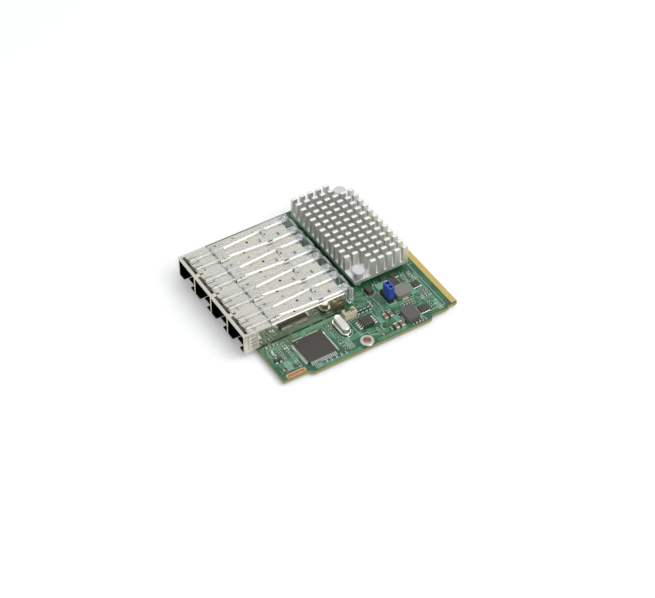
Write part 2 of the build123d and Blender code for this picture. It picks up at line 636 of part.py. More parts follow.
def light_guide(middle):
    """Clear moulding on one port: two bars joined by a web and a rib, bent down to the lamps."""
    top = CAGE_TOP + GUIDE_THICKNESS
    lifted = CAGE_TOP + COLLAR_SHEET + SPRING_BOW + GUIDE_CLEARANCE
    bar_front = CAGE_FRONT + GUIDE_FRONT
    web_start = CAGE_FRONT + GUIDE_WEB_START
    slant_start = CAGE_FRONT + GUIDE_SLANT_START
    slant_end = CAGE_FRONT + GUIDE_SLANT_END
    leg_rear = CAGE_REAR + GUIDE_LEG_OUT
    bend_start = leg_rear - GUIDE_BEND
    inner_bend = GUIDE_BEND - GUIDE_THICKNESS
    guide = span(middle - GUIDE_WEB_HALF_WIDTH, middle + GUIDE_WEB_HALF_WIDTH, web_start, slant_start,
                 CAGE_TOP, CAGE_TOP + GUIDE_WEB_THICKNESS)
    guide += span(middle - GUIDE_REAR_SPREAD, middle + GUIDE_REAR_SPREAD, slant_end - GUIDE_RIB_LENGTH / 2,
                  slant_end + GUIDE_RIB_LENGTH / 2, CAGE_TOP, CAGE_TOP + GUIDE_WEB_THICKNESS)
    for side in (-1, 1):
        front_x = middle + side * GUIDE_FRONT_SPREAD
        rear_x = middle + side * GUIDE_REAR_SPREAD
        bar = [(bar_front, lifted), (web_start, lifted), (web_start, CAGE_TOP), (slant_start, CAGE_TOP),
               (slant_start, top), (bar_front, top)]
        nose_bar = side_profile(bar, GUIDE_WIDTH, front_x)
        nose_edges = nose_bar.edges().filter_by(Axis.Z).group_by(Axis.Y)[0]
        guide += chamfer(nose_edges, GUIDE_NOSE)
        half = GUIDE_WIDTH / 2
        slant = [(front_x - half, slant_start), (front_x + half, slant_start),
                 (rear_x + half, slant_end), (rear_x - half, slant_end)]
        guide += upright(slant, CAGE_TOP, top)
        guide += guide_leg(rear_x, slant_end, bend_start, leg_rear, inner_bend)
    return guide


def guide_leg(x, start, bend_start, rear, inner_bend):
    """Straight bar that bends down behind the cage and stands on a lamp."""
    top = CAGE_TOP + GUIDE_THICKNESS
    x0 = x - GUIDE_WIDTH / 2
    outer_line = Line((x0, start, top), (x0, bend_start, top))
    outer_bend = TangentArc((x0, bend_start, top), (x0, rear, top - GUIDE_BEND), tangent=(0, 1, 0))
    back = Line((x0, rear, top - GUIDE_BEND), (x0, rear, LAMP_TOP))
    front = rear - GUIDE_THICKNESS
    foot = Line((x0, rear, LAMP_TOP), (x0, front, LAMP_TOP))
    face_line = Line((x0, front, LAMP_TOP), (x0, front, CAGE_TOP - inner_bend))
    inner_arc = TangentArc((x0, front, CAGE_TOP - inner_bend), (x0, bend_start, CAGE_TOP), tangent=(0, 0, 1))
    under = Line((x0, bend_start, CAGE_TOP), (x0, start, CAGE_TOP))
    end = Line((x0, start, CAGE_TOP), (x0, start, top))
    face = make_face([outer_line, outer_bend, back, foot, face_line, inner_arc, under, end])
    return extrude(face, amount=GUIDE_WIDTH, dir=(1, 0, 0))


def status_lamps():
    """A lamp on the board under each leg of the light guides."""
    y = CAGE_REAR + GUIDE_LEG_OUT - GUIDE_THICKNESS / 2
    return [block(*LAMP_SIZE, middle + side * GUIDE_REAR_SPREAD, y, BOARD_TOP)
            for middle in PORT_MIDDLES for side in (-1, 1)]


def heat_sink():
    """Extruded fins, cross-cut into pins, with two corners cleared and drilled for the push pins."""
    sink = span(SINK_LEFT, SINK_RIGHT, SINK_FRONT, SINK_REAR, SINK_BOTTOM, SINK_TOP)
    cuts = []
    for index in range(FIN_COUNT - 1):
        left = fin_line(index) + FIN_THICKNESS / 2
        right = fin_line(index + 1) - FIN_THICKNESS / 2
        cuts.append(span(left, right, SINK_FRONT, SINK_REAR, SINK_BASE_TOP, SINK_TOP))
    for index in range(PIN_ROWS - 1):
        front = pin_line(index) + PIN_LENGTH / 2
        rear = pin_line(index + 1) - PIN_LENGTH / 2
        cuts.append(span(SINK_LEFT, SINK_RIGHT, front, rear, SINK_BASE_TOP, SINK_TOP))
    cleared_width = CLEARED_PINS * FIN_PITCH
    cleared_depth = CLEARED_PINS * PIN_PITCH
    for x, y in PUSH_PLACES:
        cuts.append(block(cleared_width, cleared_depth, SINK_HEIGHT, x, y, SINK_BASE_TOP))
        cuts.append(drill(PUSH_HOLE, x, y, SINK_BOTTOM, SINK_BASE_TOP))
    return sink - cuts


def network_controller():
    """Chip package: a base on the board and a smaller lid."""
    base = block(CONTROLLER_SIZE, CONTROLLER_SIZE, CONTROLLER_BASE, *SINK_CENTRE, BOARD_TOP)
    return base + block(LID_SIZE, LID_SIZE, LID_HEIGHT, *SINK_CENTRE, BOARD_TOP + CONTROLLER_BASE)


def thermal_pad():
    """Soft pad between the lid and the heat sink."""
    return block(PAD_SIZE, PAD_SIZE, PAD_THICKNESS, *SINK_CENTRE, SINK_BOTTOM - PAD_THICKNESS)


def push_pin(x, y):
    """Bevelled round head, six-sided shaft, and a barbed tip under the board."""
    head = extrude(RegularPolygon(PUSH_HEAD_DIAMETER / 2, ROUND_SIDES), amount=PUSH_HEAD_HEIGHT)
    head = chamfer(head.edges().group_by(Axis.Z)[-1], PUSH_HEAD_BEVEL)
    pin = Pos(x, y, PUSH_HEAD_BOTTOM) * head
    pin += drill(PUSH_SHAFT_DIAMETER, x, y, BOARD_BOTTOM, PUSH_HEAD_BOTTOM)
    shoulder = RegularPolygon(PUSH_SHAFT_DIAMETER / 2 + PUSH_BARB, HOLE_SIDES)
    tip = RegularPolygon(PUSH_TIP_DIAMETER / 2, HOLE_SIDES)
    return pin + Pos(x, y, 0) * loft([tip, Pos(0, 0, BOARD_BOTTOM) * shoulder])


def push_spring(x, y):
    """Square-wire coil between the heat sink's base and a push pin's head."""
    low = SINK_BASE_TOP + COIL_WIRE / 2 + COIL_CLEARANCE
    rise = PUSH_HEAD_LEVEL - COIL_WIRE - 2 * COIL_CLEARANCE
    runs = round(COIL_TURNS * COIL_SIDES)
    radius = COIL_DIAMETER / 2
    points = []
    for run in range(runs + 1):
        angle = 2 * pi * run / COIL_SIDES
        points.append((radius * cos(angle), radius * sin(angle), rise * run / runs))
    path = Polyline(*points)
    section = Plane(origin=path @ 0, x_dir=(1, 0, 0), z_dir=path % 0) * Rectangle(COIL_WIRE, COIL_WIRE)
    return Pos(x, y, low) * sweep(section, path=path, transition=Transition.RIGHT)


def gull_lead(width, reach, rise, foot):
    """Lead with its root at the origin, running towards +X and down to the board."""
    heel = reach - foot
    outline = [(0, rise), (heel, LEAD_THICKNESS), (reach, LEAD_THICKNESS), (reach, 0),
               (heel - LEAD_THICKNESS, 0), (0, rise - 2 * LEAD_THICKNESS)]
    face = make_face(Polyline(*[(x, -width / 2, z) for x, z in outline], close=True))
    return extrude(face, amount=width, dir=(0, 1, 0))


def moulded_body(width, depth, height, bevel, x, y, z):
    """Chip body with bevelled top and bottom edges."""
    body = block(width, depth, height, x, y, z)
    rims = body.edges().group_by(Axis.Z)
    return chamfer(rims[0] + rims[-1], bevel)


def flat_pack():
    """Square moulded body, clear of the board."""
    return moulded_body(FLAT_PACK_SIZE, FLAT_PACK_SIZE, FLAT_PACK_HEIGHT, FLAT_PACK_BEVEL,
                        *FLAT_PACK_SPOT, BOARD_TOP + FLAT_PACK_STANDOFF)


def flat_pack_leads():
    """Leads along all four sides of the flat pack."""
    x, y = FLAT_PACK_SPOT
    rise = FLAT_PACK_STANDOFF + FLAT_PACK_HEIGHT / 2
    lead = gull_lead(FLAT_PACK_LEAD_WIDTH, LEAD_REACH, rise, LEAD_FOOT)
    row = [Pos(FLAT_PACK_SIZE / 2, along, 0) * lead for along in centred(FLAT_PACK_LEADS, FLAT_PACK_PITCH)]
    return [Pos(x, y, BOARD_TOP) * Rot(0, 0, 90 * side) * lead for side in range(4) for lead in row]


def memory_chip():
    """Moulded body, clear of the board."""
    x, y = from_cage_rear(MEMORY_PLACE)
    return moulded_body(*MEMORY_SIZE, MEMORY_HEIGHT, FLAT_PACK_BEVEL, x, y, BOARD_TOP + FLAT_PACK_STANDOFF)


def memory_leads():
    """Leads along two sides of the memory chip."""
    x, y = from_cage_rear(MEMORY_PLACE)
    rise = FLAT_PACK_STANDOFF + MEMORY_HEIGHT / 2
    lead = gull_lead(MEMORY_LEAD_WIDTH, MEMORY_LEAD_REACH, rise, LEAD_FOOT)
    row = [Pos(MEMORY_SIZE[1] / 2, along, 0) * lead for along in centred(MEMORY_LEADS, MEMORY_PITCH)]
    return [Pos(x, y, BOARD_TOP) * Rot(0, 0, turn) * lead for turn in (90, -90) for lead in row]


def crystal_can():
    """Drawn can with round ends and a bevelled top, on a thin flange."""
    x, y = CRYSTAL_SPOT
    flange_z = BOARD_TOP + CRYSTAL_SEAT_HEIGHT
    can_z = flange_z + CRYSTAL_FLANGE_HEIGHT
    can = extrude(SlotOverall(CRYSTAL_LENGTH, CRYSTAL_WIDTH), amount=CRYSTAL_HEIGHT)
    can = chamfer(can.edges().group_by(Axis.Z)[-1], CRYSTAL_BEVEL)
    flange = extrude(SlotOverall(CRYSTAL_LENGTH + 2 * CRYSTAL_FLANGE, CRYSTAL_WIDTH + 2 * CRYSTAL_FLANGE),
                     amount=CRYSTAL_FLANGE_HEIGHT)
    return Pos(x, y, can_z) * can + Pos(x, y, flange_z) * flange


def crystal_seat():
    """Round-ended plastic seat under the crystal, notched for its feet."""
    seat = Pos(*CRYSTAL_SPOT, BOARD_TOP) * extrude(SlotOverall(*CRYSTAL_SEAT), amount=CRYSTAL_SEAT_HEIGHT)
    return seat - crystal_feet()


def crystal_feet():
    """Two soldered feet that reach out from under the seat's ends."""
    x, y = CRYSTAL_SPOT
    reach = (CRYSTAL_FEET_SPAN - CRYSTAL_FOOT[0]) / 2
    return [block(*CRYSTAL_FOOT, x + side * reach, y, BOARD_TOP) for side in (-1, 1)]


def header_lines():
    """Y of each wire header pin."""
    y = from_cage_rear(HEADER_PLACE)[1]
    return [y + along for along in centred(HEADER_WAYS, HEADER_PITCH)]


def header_housing():
    """Open-topped shroud with a keying gap, a hole for each pin and a groove for its foot."""
    x, y = from_cage_rear(HEADER_PLACE)
    width, depth, height = HEADER_SIZE
    housing = block(width, depth, height, x, y, BOARD_TOP)
    cuts = [block(width - 2 * HEADER_WALL, depth - 2 * HEADER_WALL, height, x, y, BOARD_TOP + HEADER_FLOOR)]
    cuts.append(block(2 * HEADER_WALL, depth / 2, height, x - width / 2, y, BOARD_TOP + height / 2))
    gap = HEADER_PIN + 2 * HEADER_CLEARANCE
    for line in header_lines():
        cuts.append(block(gap, gap, HEADER_FLOOR, x, line, BOARD_TOP))
        cuts.append(block(width, gap, gap, x + width / 2 - gap / 2, line, BOARD_TOP))
    return housing - cuts


def header_pins():
    """Bent pins: a post in the shroud and a foot on the board."""
    x = from_cage_rear(HEADER_PLACE)[0]
    foot = HEADER_SIZE[0] / 2 + HEADER_FOOT
    pins = []
    for line in header_lines():
        post = block(HEADER_PIN, HEADER_PIN, HEADER_PIN_TOP, x, line, BOARD_TOP)
        pins.append(post + span(x, x + foot, line - HEADER_PIN / 2, line + HEADER_PIN / 2,
                                BOARD_TOP, BOARD_TOP + HEADER_PIN))
    return pins


def jumper_base():
    """Moulded strip that holds the jumper's pins, notched between them."""
    x, y = JUMPER_SPOT
    base = block(JUMPER_WAYS * JUMPER_PITCH, JUMPER_BASE_DEPTH, JUMPER_BASE_HEIGHT, x, y, BOARD_TOP)
    cuts = []
    for line in JUMPER_LINES:
        size = JUMPER_PIN + 2 * JUMPER_CLEARANCE
        cuts.append(block(size, size, JUMPER_BASE_HEIGHT, line, y, BOARD_TOP))
    for line in JUMPER_LINES[:-1]:
        for side in (-1, 1):
            cuts.append(block(2 * JUMPER_NOTCH, 2 * JUMPER_NOTCH, JUMPER_BASE_HEIGHT,
                              line + JUMPER_PITCH / 2, y + side * JUMPER_BASE_DEPTH / 2, BOARD_TOP))
    return base - cuts


def jumper_pins():
    """Square posts from below the board to above the base."""
    top = BOARD_TOP + JUMPER_BASE_HEIGHT + JUMPER_PIN_RISE
    return [block(JUMPER_PIN, JUMPER_PIN, top, line, JUMPER_SPOT[1], 0) for line in JUMPER_LINES]


def jumper_cap():
    """Open-topped cap pushed over two of the pins."""
    covered = JUMPER_LINES[-CAP_WAYS:]
    x = sum(covered) / CAP_WAYS
    y = JUMPER_SPOT[1]
    floor = BOARD_TOP + JUMPER_BASE_HEIGHT
    cap = block(CAP_WAYS * JUMPER_PITCH, CAP_DEPTH, CAP_HEIGHT, x, y, floor)
    cap = chamfer(cap.edges().filter_by(Axis.Z), CAP_BEVEL)
    return cap - [block(CAP_WELL, CAP_WELL, CAP_HEIGHT, line, y, floor) for line in covered]


def inductor_body(x, y, turn):
    """Pressed block with chamfered upright corners."""
    body = Box(INDUCTOR_WIDTH, INDUCTOR_LENGTH, INDUCTOR_HEIGHT)
    body = chamfer(body.edges().filter_by(Axis.Z), INDUCTOR_CHAMFER)
    return Pos(x, y, BOARD_TOP + INDUCTOR_HEIGHT / 2) * Rot(0, 0, turn) * body


def inductor_terminals(x, y, turn):
    """Two bent terminals against the ends of an inductor."""
    terminals = []
    for side in (0, 180):
        plate = block(TERMINAL_THICKNESS, TERMINAL_WIDTH, TERMINAL_HEIGHT, TERMINAL_THICKNESS / 2, 0, 0)
        plate += block(TERMINAL_FOOT, TERMINAL_WIDTH, TERMINAL_THICKNESS, TERMINAL_FOOT / 2, 0, 0)
        place = Pos(x, y, BOARD_TOP) * Rot(0, 0, turn + side) * Pos(INDUCTOR_WIDTH / 2, 0, 0)
        terminals.append(place * plate)
    return terminals


def chip_bodies(size, end, places):
    """Middles of two-ended chips that lie along X."""
    length, width, height = size
    return [block(length - 2 * end, width, height, x, y, BOARD_TOP) for x, y in places]


def chip_ends(size, end, places):
    """Metal end caps of two-ended chips that lie along X."""
    length, width, height = size
    return [block(end, width, height, x + side * (length - end) / 2, y, BOARD_TOP)
            for x, y in places for side in (-1, 1)]


def pair(place):
    """Two places side by side along Y."""
    x, y = place
    return [(x, y - CAPACITOR_PAIR_PITCH / 2), (x, y + CAPACITOR_PAIR_PITCH / 2)]


def column(place, count, pitch):
    """Places in a column along Y, from the first one."""
    x, y = place
    return [(x, y + index * pitch) for index in range(count)]


def diode_spot():
    """The diode's middle, beside the heat sink."""
    x = SINK_RIGHT + DIODE_PLACE[0] + DIODE_SIZE[0] / 2
    return x, BOARD_REAR - DIODE_PLACE[1]


def transistor_leads():
    """Two feet on one side and one on the other."""
    x, y = TRANSISTOR_SPOT
    length, width, height = TRANSISTOR_LEAD
    reach = (TRANSISTOR_SIZE[0] + length) / 2
    half = TRANSISTOR_PITCH / 2
    places = [(x + reach, y - half), (x + reach, y + half), (x - reach, y)]
    return [block(length, width, height, px, py, BOARD_TOP) for px, py in places]


def mounting_bush():
    """Flanged metal bush with a six-sided barrel through the board and a plain bore."""
    x, y = BUSH_SPOT
    flange = extrude(RegularPolygon(BUSH_FLANGE / 2, ROUND_SIDES), amount=BUSH_RISE)
    flange = chamfer(flange.edges().group_by(Axis.Z)[-1], BUSH_BEVEL)
    bush = Pos(x, y, BOARD_TOP) * flange + drill(BUSH_BARREL, x, y, BOARD_BOTTOM, BOARD_TOP)
    return bush - rod(BUSH_BORE, x, y, BOARD_BOTTOM, BOARD_TOP + BUSH_RISE)


def test_strip():
    """Bare copper strip with cut corners beside the neck's edge."""
    right = NECK_RIGHT - STRIP_INSET
    strip = span(right - STRIP_WIDTH, right, BOARD_FRONT + STRIP_START, NECK_END - STRIP_END,
                 BOARD_TOP, BOARD_TOP + STRIP_THICKNESS)
    return chamfer(strip.edges().filter_by(Axis.Z), STRIP_CORNER)


LARGE_PLACES = pair(from_contacts(CAPACITOR_A_PLACE)) + pair(from_edge(CAPACITOR_B_PLACE))
SMALL_PLACES = column(from_contacts(COLUMN_PLACE), COLUMN_COUNT, COLUMN_PITCH)
SMALL_PLACES.append(from_edge(SMALL_CAPACITOR_PLACE))
RESISTOR_PLACES = column(from_cage_rear(RESISTOR_PLACE), RESISTOR_COUNT, RESISTOR_PITCH)
INDUCTOR_1 = (*from_contacts(INDUCTOR_1_PLACE), 0)
INDUCTOR_2 = (*from_edge(INDUCTOR_2_PLACE), 90)
DIODE_SPOT = diode_spot()


def regulator(size, spot):
    """Flat leadless chip on the board."""
    return moulded_body(*size, REGULATOR_BEVEL, *spot, BOARD_TOP)


def leadless_chips():
    """Two small chips at the foot of the heat sink's right side."""
    return [regulator(size, from_contacts(place)) for size, place in zip(LEADLESS_SIZES, LEADLESS_PLACES)]


nodes = {
    "circuit_board": circuit_board(),
    "edge_contacts_top": edge_contacts(BOARD_TOP),
    "edge_contacts_bottom": edge_contacts(BOARD_BOTTOM - CONTACT_THICKNESS),
    "cage_cover": cage_cover(),
    "cage_floor": cage_floor(),
    "spring_collar": spring_collar(),
    "socket_contacts": socket_contacts(),
    "status_lamps": status_lamps(),
    "heat_sink": heat_sink(),
    "network_controller": network_controller(),
    "thermal_pad": thermal_pad(),
    "flat_pack": flat_pack(),
    "flat_pack_leads": flat_pack_leads(),
    "memory_chip": memory_chip(),
    "memory_leads": memory_leads(),
    "crystal_can": crystal_can(),
    "crystal_seat": crystal_seat(),
    "crystal_feet": crystal_feet(),
    "header_housing": header_housing(),
    "header_pins": header_pins(),
    "jumper_base": jumper_base(),
    "jumper_pins": jumper_pins(),
    "jumper_cap": jumper_cap(),
    "inductor_1": inductor_body(*INDUCTOR_1),
    "inductor_2": inductor_body(*INDUCTOR_2),
    "inductor_terminals": inductor_terminals(*INDUCTOR_1) + inductor_terminals(*INDUCTOR_2),
    "regulator_a": regulator(REGULATOR_A_SIZE, from_edge(REGULATOR_A_PLACE)),
    "regulator_b": regulator(REGULATOR_B_SIZE, from_contacts(REGULATOR_B_PLACE)),
    "regulator_c": regulator(REGULATOR_C_SIZE, from_contacts(REGULATOR_C_PLACE)),
    "leadless_chips": leadless_chips(),
    "diode": moulded_body(*DIODE_SIZE, DIODE_BEVEL, *DIODE_SPOT, BOARD_TOP),
    "transistor": moulded_body(*TRANSISTOR_SIZE, REGULATOR_BEVEL, *TRANSISTOR_SPOT, BOARD_TOP),
    "transistor_leads": transistor_leads(),
    "large_capacitors": chip_bodies(LARGE_CAPACITOR, END_CAP_LARGE, LARGE_PLACES),
    "large_capacitor_ends": chip_ends(LARGE_CAPACITOR, END_CAP_LARGE, LARGE_PLACES),
    "small_capacitors": chip_bodies(SMALL_CAPACITOR, END_CAP_SMALL, SMALL_PLACES),
    "small_capacitor_ends": chip_ends(SMALL_CAPACITOR, END_CAP_SMALL, SMALL_PLACES),
    "resistors": chip_bodies(RESISTOR, END_CAP_RESISTOR, RESISTOR_PLACES),
    "resistor_ends": chip_ends(RESISTOR, END_CAP_RESISTOR, RESISTOR_PLACES),
    "mounting_bush": mounting_bush(),
    "test_strip": test_strip(),
}
for number, line in enumerate(DIVIDER_LINES, start=1):
    nodes[f"cage_divider_{number}"] = cage_divider(line)
for number, middle in enumerate(PORT_MIDDLES, start=1):
    nodes[f"module_socket_{number}"] = module_socket(middle)
    nodes[f"light_guide_{number}"] = light_guide(middle)
for number, place in enumerate(PUSH_PLACES, start=1):
    nodes[f"push_pin_{number}"] = push_pin(*place)
    nodes[f"push_spring_{number}"] = push_spring(*place)

os.makedirs("parts", exist_ok=True)
for name, shape in nodes.items():
    solid = Compound(shape) if isinstance(shape, list) else shape
    export_step(solid, f"parts/{name}.step")
print(len(nodes), "nodes written")
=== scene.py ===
# %% [markdown]
# # A mezzanine network card
# The card is a green circuit board with a four-port module cage, a pin-fin heat sink and a field of
# small chips. Its solid pieces arrive at their true size from the frame. This lesson gives each of
# them the finish of the real one, and adds what is too small for the solids: copper tracks, printed
# outlines, solder, and the rows of tiny capacitors and resistors.

# %% Load the frame
import math
import random

import bpy
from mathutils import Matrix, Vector


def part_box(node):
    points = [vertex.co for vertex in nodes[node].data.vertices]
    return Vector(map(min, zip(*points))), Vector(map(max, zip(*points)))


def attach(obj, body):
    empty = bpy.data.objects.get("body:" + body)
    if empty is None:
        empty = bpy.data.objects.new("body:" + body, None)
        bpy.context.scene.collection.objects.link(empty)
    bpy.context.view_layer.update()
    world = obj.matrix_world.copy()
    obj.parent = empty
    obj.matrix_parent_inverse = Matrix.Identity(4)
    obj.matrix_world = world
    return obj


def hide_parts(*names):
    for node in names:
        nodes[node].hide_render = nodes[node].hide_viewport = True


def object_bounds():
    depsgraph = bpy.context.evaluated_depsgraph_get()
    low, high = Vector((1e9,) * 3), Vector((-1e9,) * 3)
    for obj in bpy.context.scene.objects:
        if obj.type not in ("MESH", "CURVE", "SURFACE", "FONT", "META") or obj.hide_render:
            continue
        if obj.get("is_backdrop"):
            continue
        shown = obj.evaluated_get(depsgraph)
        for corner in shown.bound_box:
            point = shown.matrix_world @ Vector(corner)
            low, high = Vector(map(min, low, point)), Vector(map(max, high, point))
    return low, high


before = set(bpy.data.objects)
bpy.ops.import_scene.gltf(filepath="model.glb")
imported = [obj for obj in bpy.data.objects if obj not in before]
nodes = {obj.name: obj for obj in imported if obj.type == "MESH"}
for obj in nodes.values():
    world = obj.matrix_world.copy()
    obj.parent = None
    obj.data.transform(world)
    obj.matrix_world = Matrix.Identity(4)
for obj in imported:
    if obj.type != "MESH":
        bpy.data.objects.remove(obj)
cad_low, cad_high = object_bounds()
print("solid pieces:", len(nodes), "box:", [round(value, 5) for value in (*cad_low, *cad_high)])

# %% [markdown]
# Blender counts in metres and the card is a few centimetres long, so sizes here are written in
# millimetres and turned to metres where a mesh is made. Places on the board are given as a maker
# would dimension them: to the right of the cage's side wall, and behind the board's front edge.

# %% Measure the card
MM = 0.001


def extent(node):
    """Lowest and highest corner of a solid piece, in millimetres."""
    low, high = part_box(node)
    return [value / MM for value in low], [value / MM for value in high]


def middle_of(node):
    """The middle of a solid piece as seen from above, in millimetres."""
    low, high = extent(node)
    return (low[0] + high[0]) / 2, (low[1] + high[1]) / 2


board_low, board_high = extent("circuit_board")
cage_low, cage_high = extent("cage_cover")
sink_low, sink_high = extent("heat_sink")
BOARD_TOP = board_high[2]
BOARD_BOTTOM = board_low[2]


def spot(right, behind):
    """A place on the board, from the cage's side wall and the board's front edge."""
    return cage_high[0] + right, board_low[1] + behind


print("board top at", round(BOARD_TOP, 3), "mm, cage top at", round(cage_high[2], 3), "mm")

# %% [markdown]
# The camera stands where the photographer stood: to the right of the ports, looking down at about
# forty-five degrees through a long lens, so that parallel edges stay nearly parallel.

# %% Camera
VIEW_AZIMUTH = 58.08
VIEW_ELEVATION = 44.84
VIEW_DISTANCE = 822.3
VIEW_TARGET = (11.46, 0.19, 2.7)
LENS = 103.6
NEAREST_SEEN = 10

azimuth = math.radians(VIEW_AZIMUTH)
elevation = math.radians(VIEW_ELEVATION)
towards_camera = Vector((math.sin(azimuth) * math.cos(elevation),
                         -math.cos(azimuth) * math.cos(elevation),
                         math.sin(elevation)))
camera = bpy.data.objects.new("camera", bpy.data.cameras.new("camera"))
camera.data.lens = LENS
camera.data.clip_start = NEAREST_SEEN * MM
camera.location = (Vector(VIEW_TARGET) + towards_camera * VIEW_DISTANCE) * MM
camera.rotation_euler = (-towards_camera).to_track_quat("-Z", "Y").to_euler()
bpy.context.scene.collection.objects.link(camera)
bpy.context.scene.camera = camera
bpy.context.scene.view_settings.view_transform = "Standard"
print("camera at", [round(value, 3) for value in camera.location])

# %% [markdown]
# A finish is a small tree of nodes. Two helpers keep the trees short: one turns the sRGB colours
# that a colour picker shows into the linear values that Blender mixes, and one adds a node, sets
# its values and links its inputs in a single call. The others build on these two: a cloudy grain, a
# blend of two colours, a whole finish from one grain, and tests of where a point of a surface lies.

# %% Colour and node helpers
CLOUD_SPREAD = (0.3, 0.7)  # a noise texture seldom leaves this range
FLAT_ENOUGH = 0.5


def linear(hex_colour):
    """An sRGB hex colour as linear red, green, blue and alpha."""
    channels = [int(hex_colour[start:start + 2], 16) / 255 for start in (1, 3, 5)]
    return [c / 12.92 if c <= 0.04045 else ((c + 0.055) / 1.055) ** 2.4 for c in channels] + [1.0]


def add(tree, kind, settings=None, links=None):
    """Adds a shader node, sets its properties or input values, and links its inputs."""
    node = tree.nodes.new("ShaderNode" + kind)
    for key, value in (settings or {}).items():
        if isinstance(key, int) or key in node.inputs:
            node.inputs[key].default_value = value
        else:
            setattr(node, key, value)
    for key, source in (links or {}).items():
        tree.links.new(source, node.inputs[key])
    return node


def surface(name, **values):
    """A new material with a principled shader. Words in a value's name are joined with underscores."""
    material = bpy.data.materials.new(name)
    material.use_nodes = True
    shader = material.node_tree.nodes["Principled BSDF"]
    for key, value in values.items():
        shader.inputs[key.replace("_", " ").title().replace("Ior", "IOR")].default_value = value
    return material, material.node_tree, shader


def grain(tree, size, stretch=(1, 1, 1), detail=3.0):
    """A cloudy pattern with patches of that size in millimetres, stretched along the axes."""
    place = add(tree, "TexCoord")
    scaled = add(tree, "Mapping", {"Scale": [1 / (size * MM * along) for along in stretch]},
                 {"Vector": place.outputs["Object"]})
    cloud = add(tree, "TexNoise", {"Scale": 1.0, "Detail": detail}, {"Vector": scaled.outputs[0]})
    return cloud.outputs["Fac"]


def blend(tree, factor, first, second):
    """A colour between two others, which are hex colours or sockets."""
    mix = add(tree, "Mix", {"data_type": "RGBA"}, {0: factor})
    for index, value in ((6, first), (7, second)):
        if isinstance(value, str):
            mix.inputs[index].default_value = linear(value)
        else:
            tree.links.new(value, mix.inputs[index])
    return mix.outputs[2]


def dress(tree, shader, pattern, colours, roughness, relief=0.0):
    """Lets one pattern drive a finish's colour, gloss and relief, the relief in millimetres."""
    limits = {"From Min": CLOUD_SPREAD[0], "From Max": CLOUD_SPREAD[1]}
    spread = add(tree, "MapRange", limits, {"Value": pattern}).outputs[0]
    tree.links.new(blend(tree, spread, *colours), shader.inputs["Base Color"])
    gloss = add(tree, "MapRange", {"To Min": roughness[0], "To Max": roughness[1]}, {"Value": spread})
    tree.links.new(gloss.outputs[0], shader.inputs["Roughness"])
    if relief:
        bump = add(tree, "Bump", {"Distance": relief * MM}, {"Height": pattern})
        tree.links.new(bump.outputs[0], shader.inputs["Normal"])


def plain_finish(name, patch, colours, roughness, relief=0.0, stretch=(1, 1, 1), detail=3.0, **values):
    """A whole material from one cloudy grain with patches of that size in millimetres."""
    material, tree, shader = surface(name, **values)
    dress(tree, shader, grain(tree, patch, stretch, detail), colours, roughness, relief)
    return material


def faces_up(tree):
    """One on faces that look up or down, nought on upright edges."""
    geometry = add(tree, "NewGeometry")
    split = add(tree, "SeparateXYZ", None, {0: geometry.outputs["Normal"]})
    size = add(tree, "Math", {"operation": "ABSOLUTE"}, {0: split.outputs["Z"]})
    return add(tree, "Math", {"operation": "GREATER_THAN", 1: FLAT_ENOUGH}, {0: size.outputs[0]}).outputs[0]


def within(tree, low, high):
    """One inside a box given in millimetres, nought outside it."""
    place = add(tree, "TexCoord").outputs["Object"]
    split = add(tree, "SeparateXYZ", None, {0: place})
    inside = 1.0
    for axis in range(3):
        middle = (low[axis] + high[axis]) / 2 * MM
        reach = (high[axis] - low[axis]) / 2 * MM
        test = add(tree, "Math", {"operation": "COMPARE", 1: middle, 2: reach}, {0: split.outputs[axis]})
        both = add(tree, "Math", {"operation": "MULTIPLY", 1: 1.0}, {0: test.outputs[0]})
        if axis:
            tree.links.new(inside, both.inputs[1])
        inside = both.outputs[0]
    return inside


print("helpers ready")

# %% [markdown]
# The card lies on a white table under one large softbox and an even room light. Camera, mirror and
# glass rays see a pale room and a white table, so that bright sheet metal has something white to
# reflect. Diffuse light stays at a plain level, and the table keeps the card's shadow. The softbox
# itself is hidden from rays that leave clear plastic, where its image would burn out to white bands.

# %% Room, light and table
ROOM_COLOUR = "#f3f8fd"
ROOM_LIGHT = 0.62
SOFTBOX_PLACE = (550, 300, 950)
SOFTBOX_SIZE = 800
SOFTBOX_POWER = 6.5
TABLE_SIZE = 4000
TABLE_GLOW = 0.2


def seeing_rays(tree):
    """One for rays from the camera, a mirror or clear plastic, nought for those that carry light."""
    rays = add(tree, "LightPath")
    seen = rays.outputs["Is Camera Ray"]
    for kind in ("Is Glossy Ray", "Is Transmission Ray"):
        seen = add(tree, "Math", {"operation": "MAXIMUM"}, {0: seen, 1: rays.outputs[kind]}).outputs[0]
    return seen


world = bpy.data.worlds.new("pale_room")
bpy.context.scene.world = world
world.use_nodes = True
room = world.node_tree
room.nodes.clear()
lighting = add(room, "Background", {"Color": linear("#ffffff"), "Strength": ROOM_LIGHT})
backdrop = add(room, "Background", {"Color": linear(ROOM_COLOUR), "Strength": 1.0})
both = add(room, "MixShader", None,
           {0: seeing_rays(room), 1: lighting.outputs[0], 2: backdrop.outputs[0]})
add(room, "OutputWorld", None, {0: both.outputs[0]})

softbox = bpy.data.objects.new("softbox", bpy.data.lights.new("softbox", "AREA"))
softbox.data.size = SOFTBOX_SIZE * MM
softbox.data.energy = SOFTBOX_POWER
softbox.location = Vector(SOFTBOX_PLACE) * MM
softbox.visible_transmission = False
softbox.rotation_euler = (-softbox.location).to_track_quat("-Z", "Y").to_euler()
bpy.context.scene.collection.objects.link(softbox)


